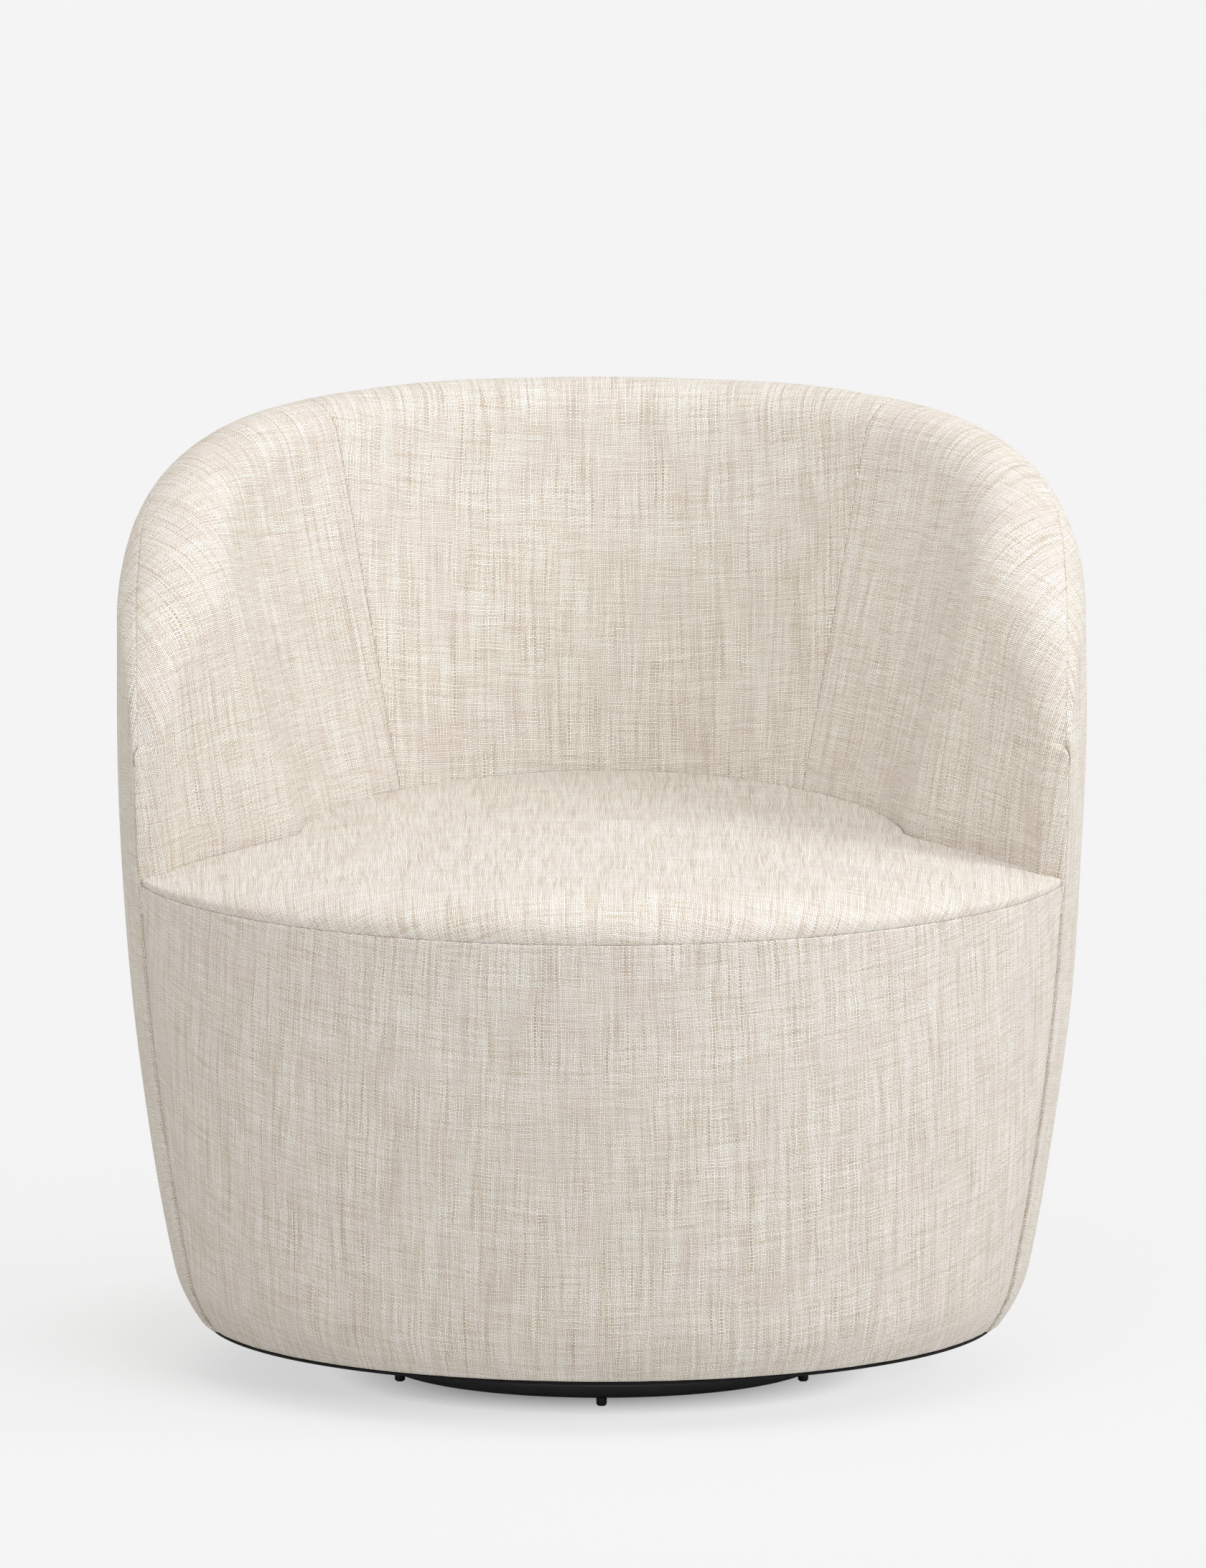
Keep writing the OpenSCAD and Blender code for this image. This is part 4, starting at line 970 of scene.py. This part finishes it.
def staple_ring(name, **sizes):
    piece = bpy.data.objects.new(name, bpy.data.meshes.new(name))
    scene.collection.objects.link(piece)
    ring = piece.modifiers.new("staples", "NODES")
    ring.node_group = staple_tree()
    for item in ring.node_group.interface.items_tree:
        if item.in_out == "INPUT" and item.name in sizes:
            ring[item.identifier] = sizes[item.name]
    shaped = piece.evaluated_get(bpy.context.evaluated_depsgraph_get())
    mesh = bpy.data.meshes.new_from_object(shaped)
    piece.modifiers.remove(ring)
    piece.data = mesh
    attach(piece, "seat")


cover_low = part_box("dust_cover")[0].z
cover_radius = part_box("dust_cover")[1].x
staple_ring("dust_cover_staples", **{
    "Count": 56, "Ring radius": cover_radius - 0.012, "Cloth height": cover_low - 0.0002,
    "Crown length": 0.011, "Wire": 0.0009, "Leg length": 0.002, "Seed": 4})


# floor, lights and camera
BACKDROP = srgb(244, 244, 244)
FLOOR_TONE = (0.76, 0.76, 0.76)
SHADE_MIDDLE = (-0.12, 0.14, 0)   # middle of the wide, faint shade on the floor


def floor_material():
    """Matt where the chair's shade falls, and clear towards the backdrop."""
    g = Graph("floor")
    split = g.make("ShaderNodeVectorMath", operation="LENGTH")
    g.put(split.inputs[0], g.object_place())
    reach = split.outputs["Value"]
    aside = g.make("ShaderNodeVectorMath", operation="DISTANCE")
    g.put(aside.inputs[0], g.object_place())
    g.put(aside.inputs[1], SHADE_MIDDLE)
    # Distances in metres, and how much of the floor shows there
    shown = g.math("ADD", g.span(reach, 0.13, 0.225, 0.5, 0),
                   g.span(aside.outputs["Value"], 0.27, 0.42, 0.32, 0.13))
    fade = g.math("ADD", g.math("SUBTRACT", 1.0, shown), g.span(reach, 0.7, 1.6, 0, 0.13))
    # Seen from below it is clear, so that the base shows
    fade = g.math("MAXIMUM", fade, g.make("ShaderNodeNewGeometry").outputs["Backfacing"])
    ray = g.make("ShaderNodeLightPath").outputs["Is Camera Ray"]
    bare = g.math("MULTIPLY", fade, ray)
    matt = g.make("ShaderNodeBsdfDiffuse")
    g.put(matt.inputs["Color"], (*FLOOR_TONE, 1))
    clear = g.make("ShaderNodeBsdfTransparent")
    blend = g.make("ShaderNodeMixShader")
    for socket, value in zip(blend.inputs, (bare, matt.outputs[0], clear.outputs[0])):
        g.put(socket, value)
    g.put(g.out.inputs["Surface"], blend.outputs[0])
    return g.material


work = bmesh.new()
bmesh.ops.create_circle(work, cap_ends=True, segments=96, radius=6.0)
floor_mesh = bpy.data.meshes.new("floor")
work.to_mesh(floor_mesh)
work.free()
floor = bpy.data.objects.new("floor", floor_mesh)
floor_mesh.materials.append(floor_material())
scene.collection.objects.link(floor)

AROUND_TONE, AROUND_STRENGTH = (1.02, 1.0, 0.965), 0.785


def studio_world():
    """Soft light from all sides, and a plain backdrop for the rays that show it."""
    world = bpy.data.worlds.new("studio")
    scene.world = world
    world.use_nodes = True
    tree = world.node_tree
    tree.nodes.clear()
    rays = tree.nodes.new("ShaderNodeLightPath").outputs
    seen = rays["Is Camera Ray"]
    for kind in ("Is Glossy Ray", "Is Transmission Ray"):
        either_ray = tree.nodes.new("ShaderNodeMath")
        either_ray.operation = "MAXIMUM"
        tree.links.new(seen, either_ray.inputs[0])
        tree.links.new(rays[kind], either_ray.inputs[1])
        seen = either_ray.outputs[0]
    blend = tree.nodes.new("ShaderNodeMixShader")
    tree.links.new(seen, blend.inputs[0])
    for place_in, tone, strength in ((1, AROUND_TONE, AROUND_STRENGTH), (2, BACKDROP, 1.0)):
        background = tree.nodes.new("ShaderNodeBackground")
        background.inputs["Color"].default_value = (*tone, 1)
        background.inputs["Strength"].default_value = strength
        tree.links.new(background.outputs[0], blend.inputs[place_in])
    tree.links.new(blend.outputs[0], tree.nodes.new("ShaderNodeOutputWorld").inputs[0])


LAMP_TONE, LAMP_AIM = (0.96, 1.0, 1.05), Vector((0, 0, 0.45))


def lamp(name, at, size, watts):
    """A round lamp that faces the middle of the chair."""
    data = bpy.data.lights.new(name, "AREA")
    data.shape = "DISK"
    data.size = size
    data.energy = watts
    data.color = LAMP_TONE
    light = bpy.data.objects.new(name, data)
    light.location = at
    light.rotation_euler = (LAMP_AIM - Vector(at)).to_track_quat("-Z", "Y").to_euler()
    scene.collection.objects.link(light)


studio_world()
lamp("key", (3.0, -0.8, 2.45), 1.4, 52)
lamp("top", (0.05, -1.6, 2.95), 2.4, 42)

# The photograph is nearly parallel: 1.668 pixels to the millimetre, seen from
# 9.66 degrees above, with the point at AIM in the middle of its 1680 x 2185.
PIXELS_HIGH, PIXELS_PER_MM = 2185, 1.668
RISE = math.radians(9.66)
AIM, CAMERA_AWAY, CLIP_END = Vector((0.0012, 0.0, 0.4965)), 8.0, 100
camera = bpy.data.objects.new("camera", bpy.data.cameras.new("camera"))
camera.data.type = "ORTHO"
camera.data.ortho_scale = PIXELS_HIGH / PIXELS_PER_MM * MM
towards = Vector((0, -math.cos(RISE), math.sin(RISE)))
camera.location = AIM + towards * CAMERA_AWAY
camera.rotation_euler = (-towards).to_track_quat("-Z", "Y").to_euler()
camera.data.clip_end = CLIP_END
scene.collection.objects.link(camera)
scene.camera = camera
scene.view_settings.view_transform = "Standard"
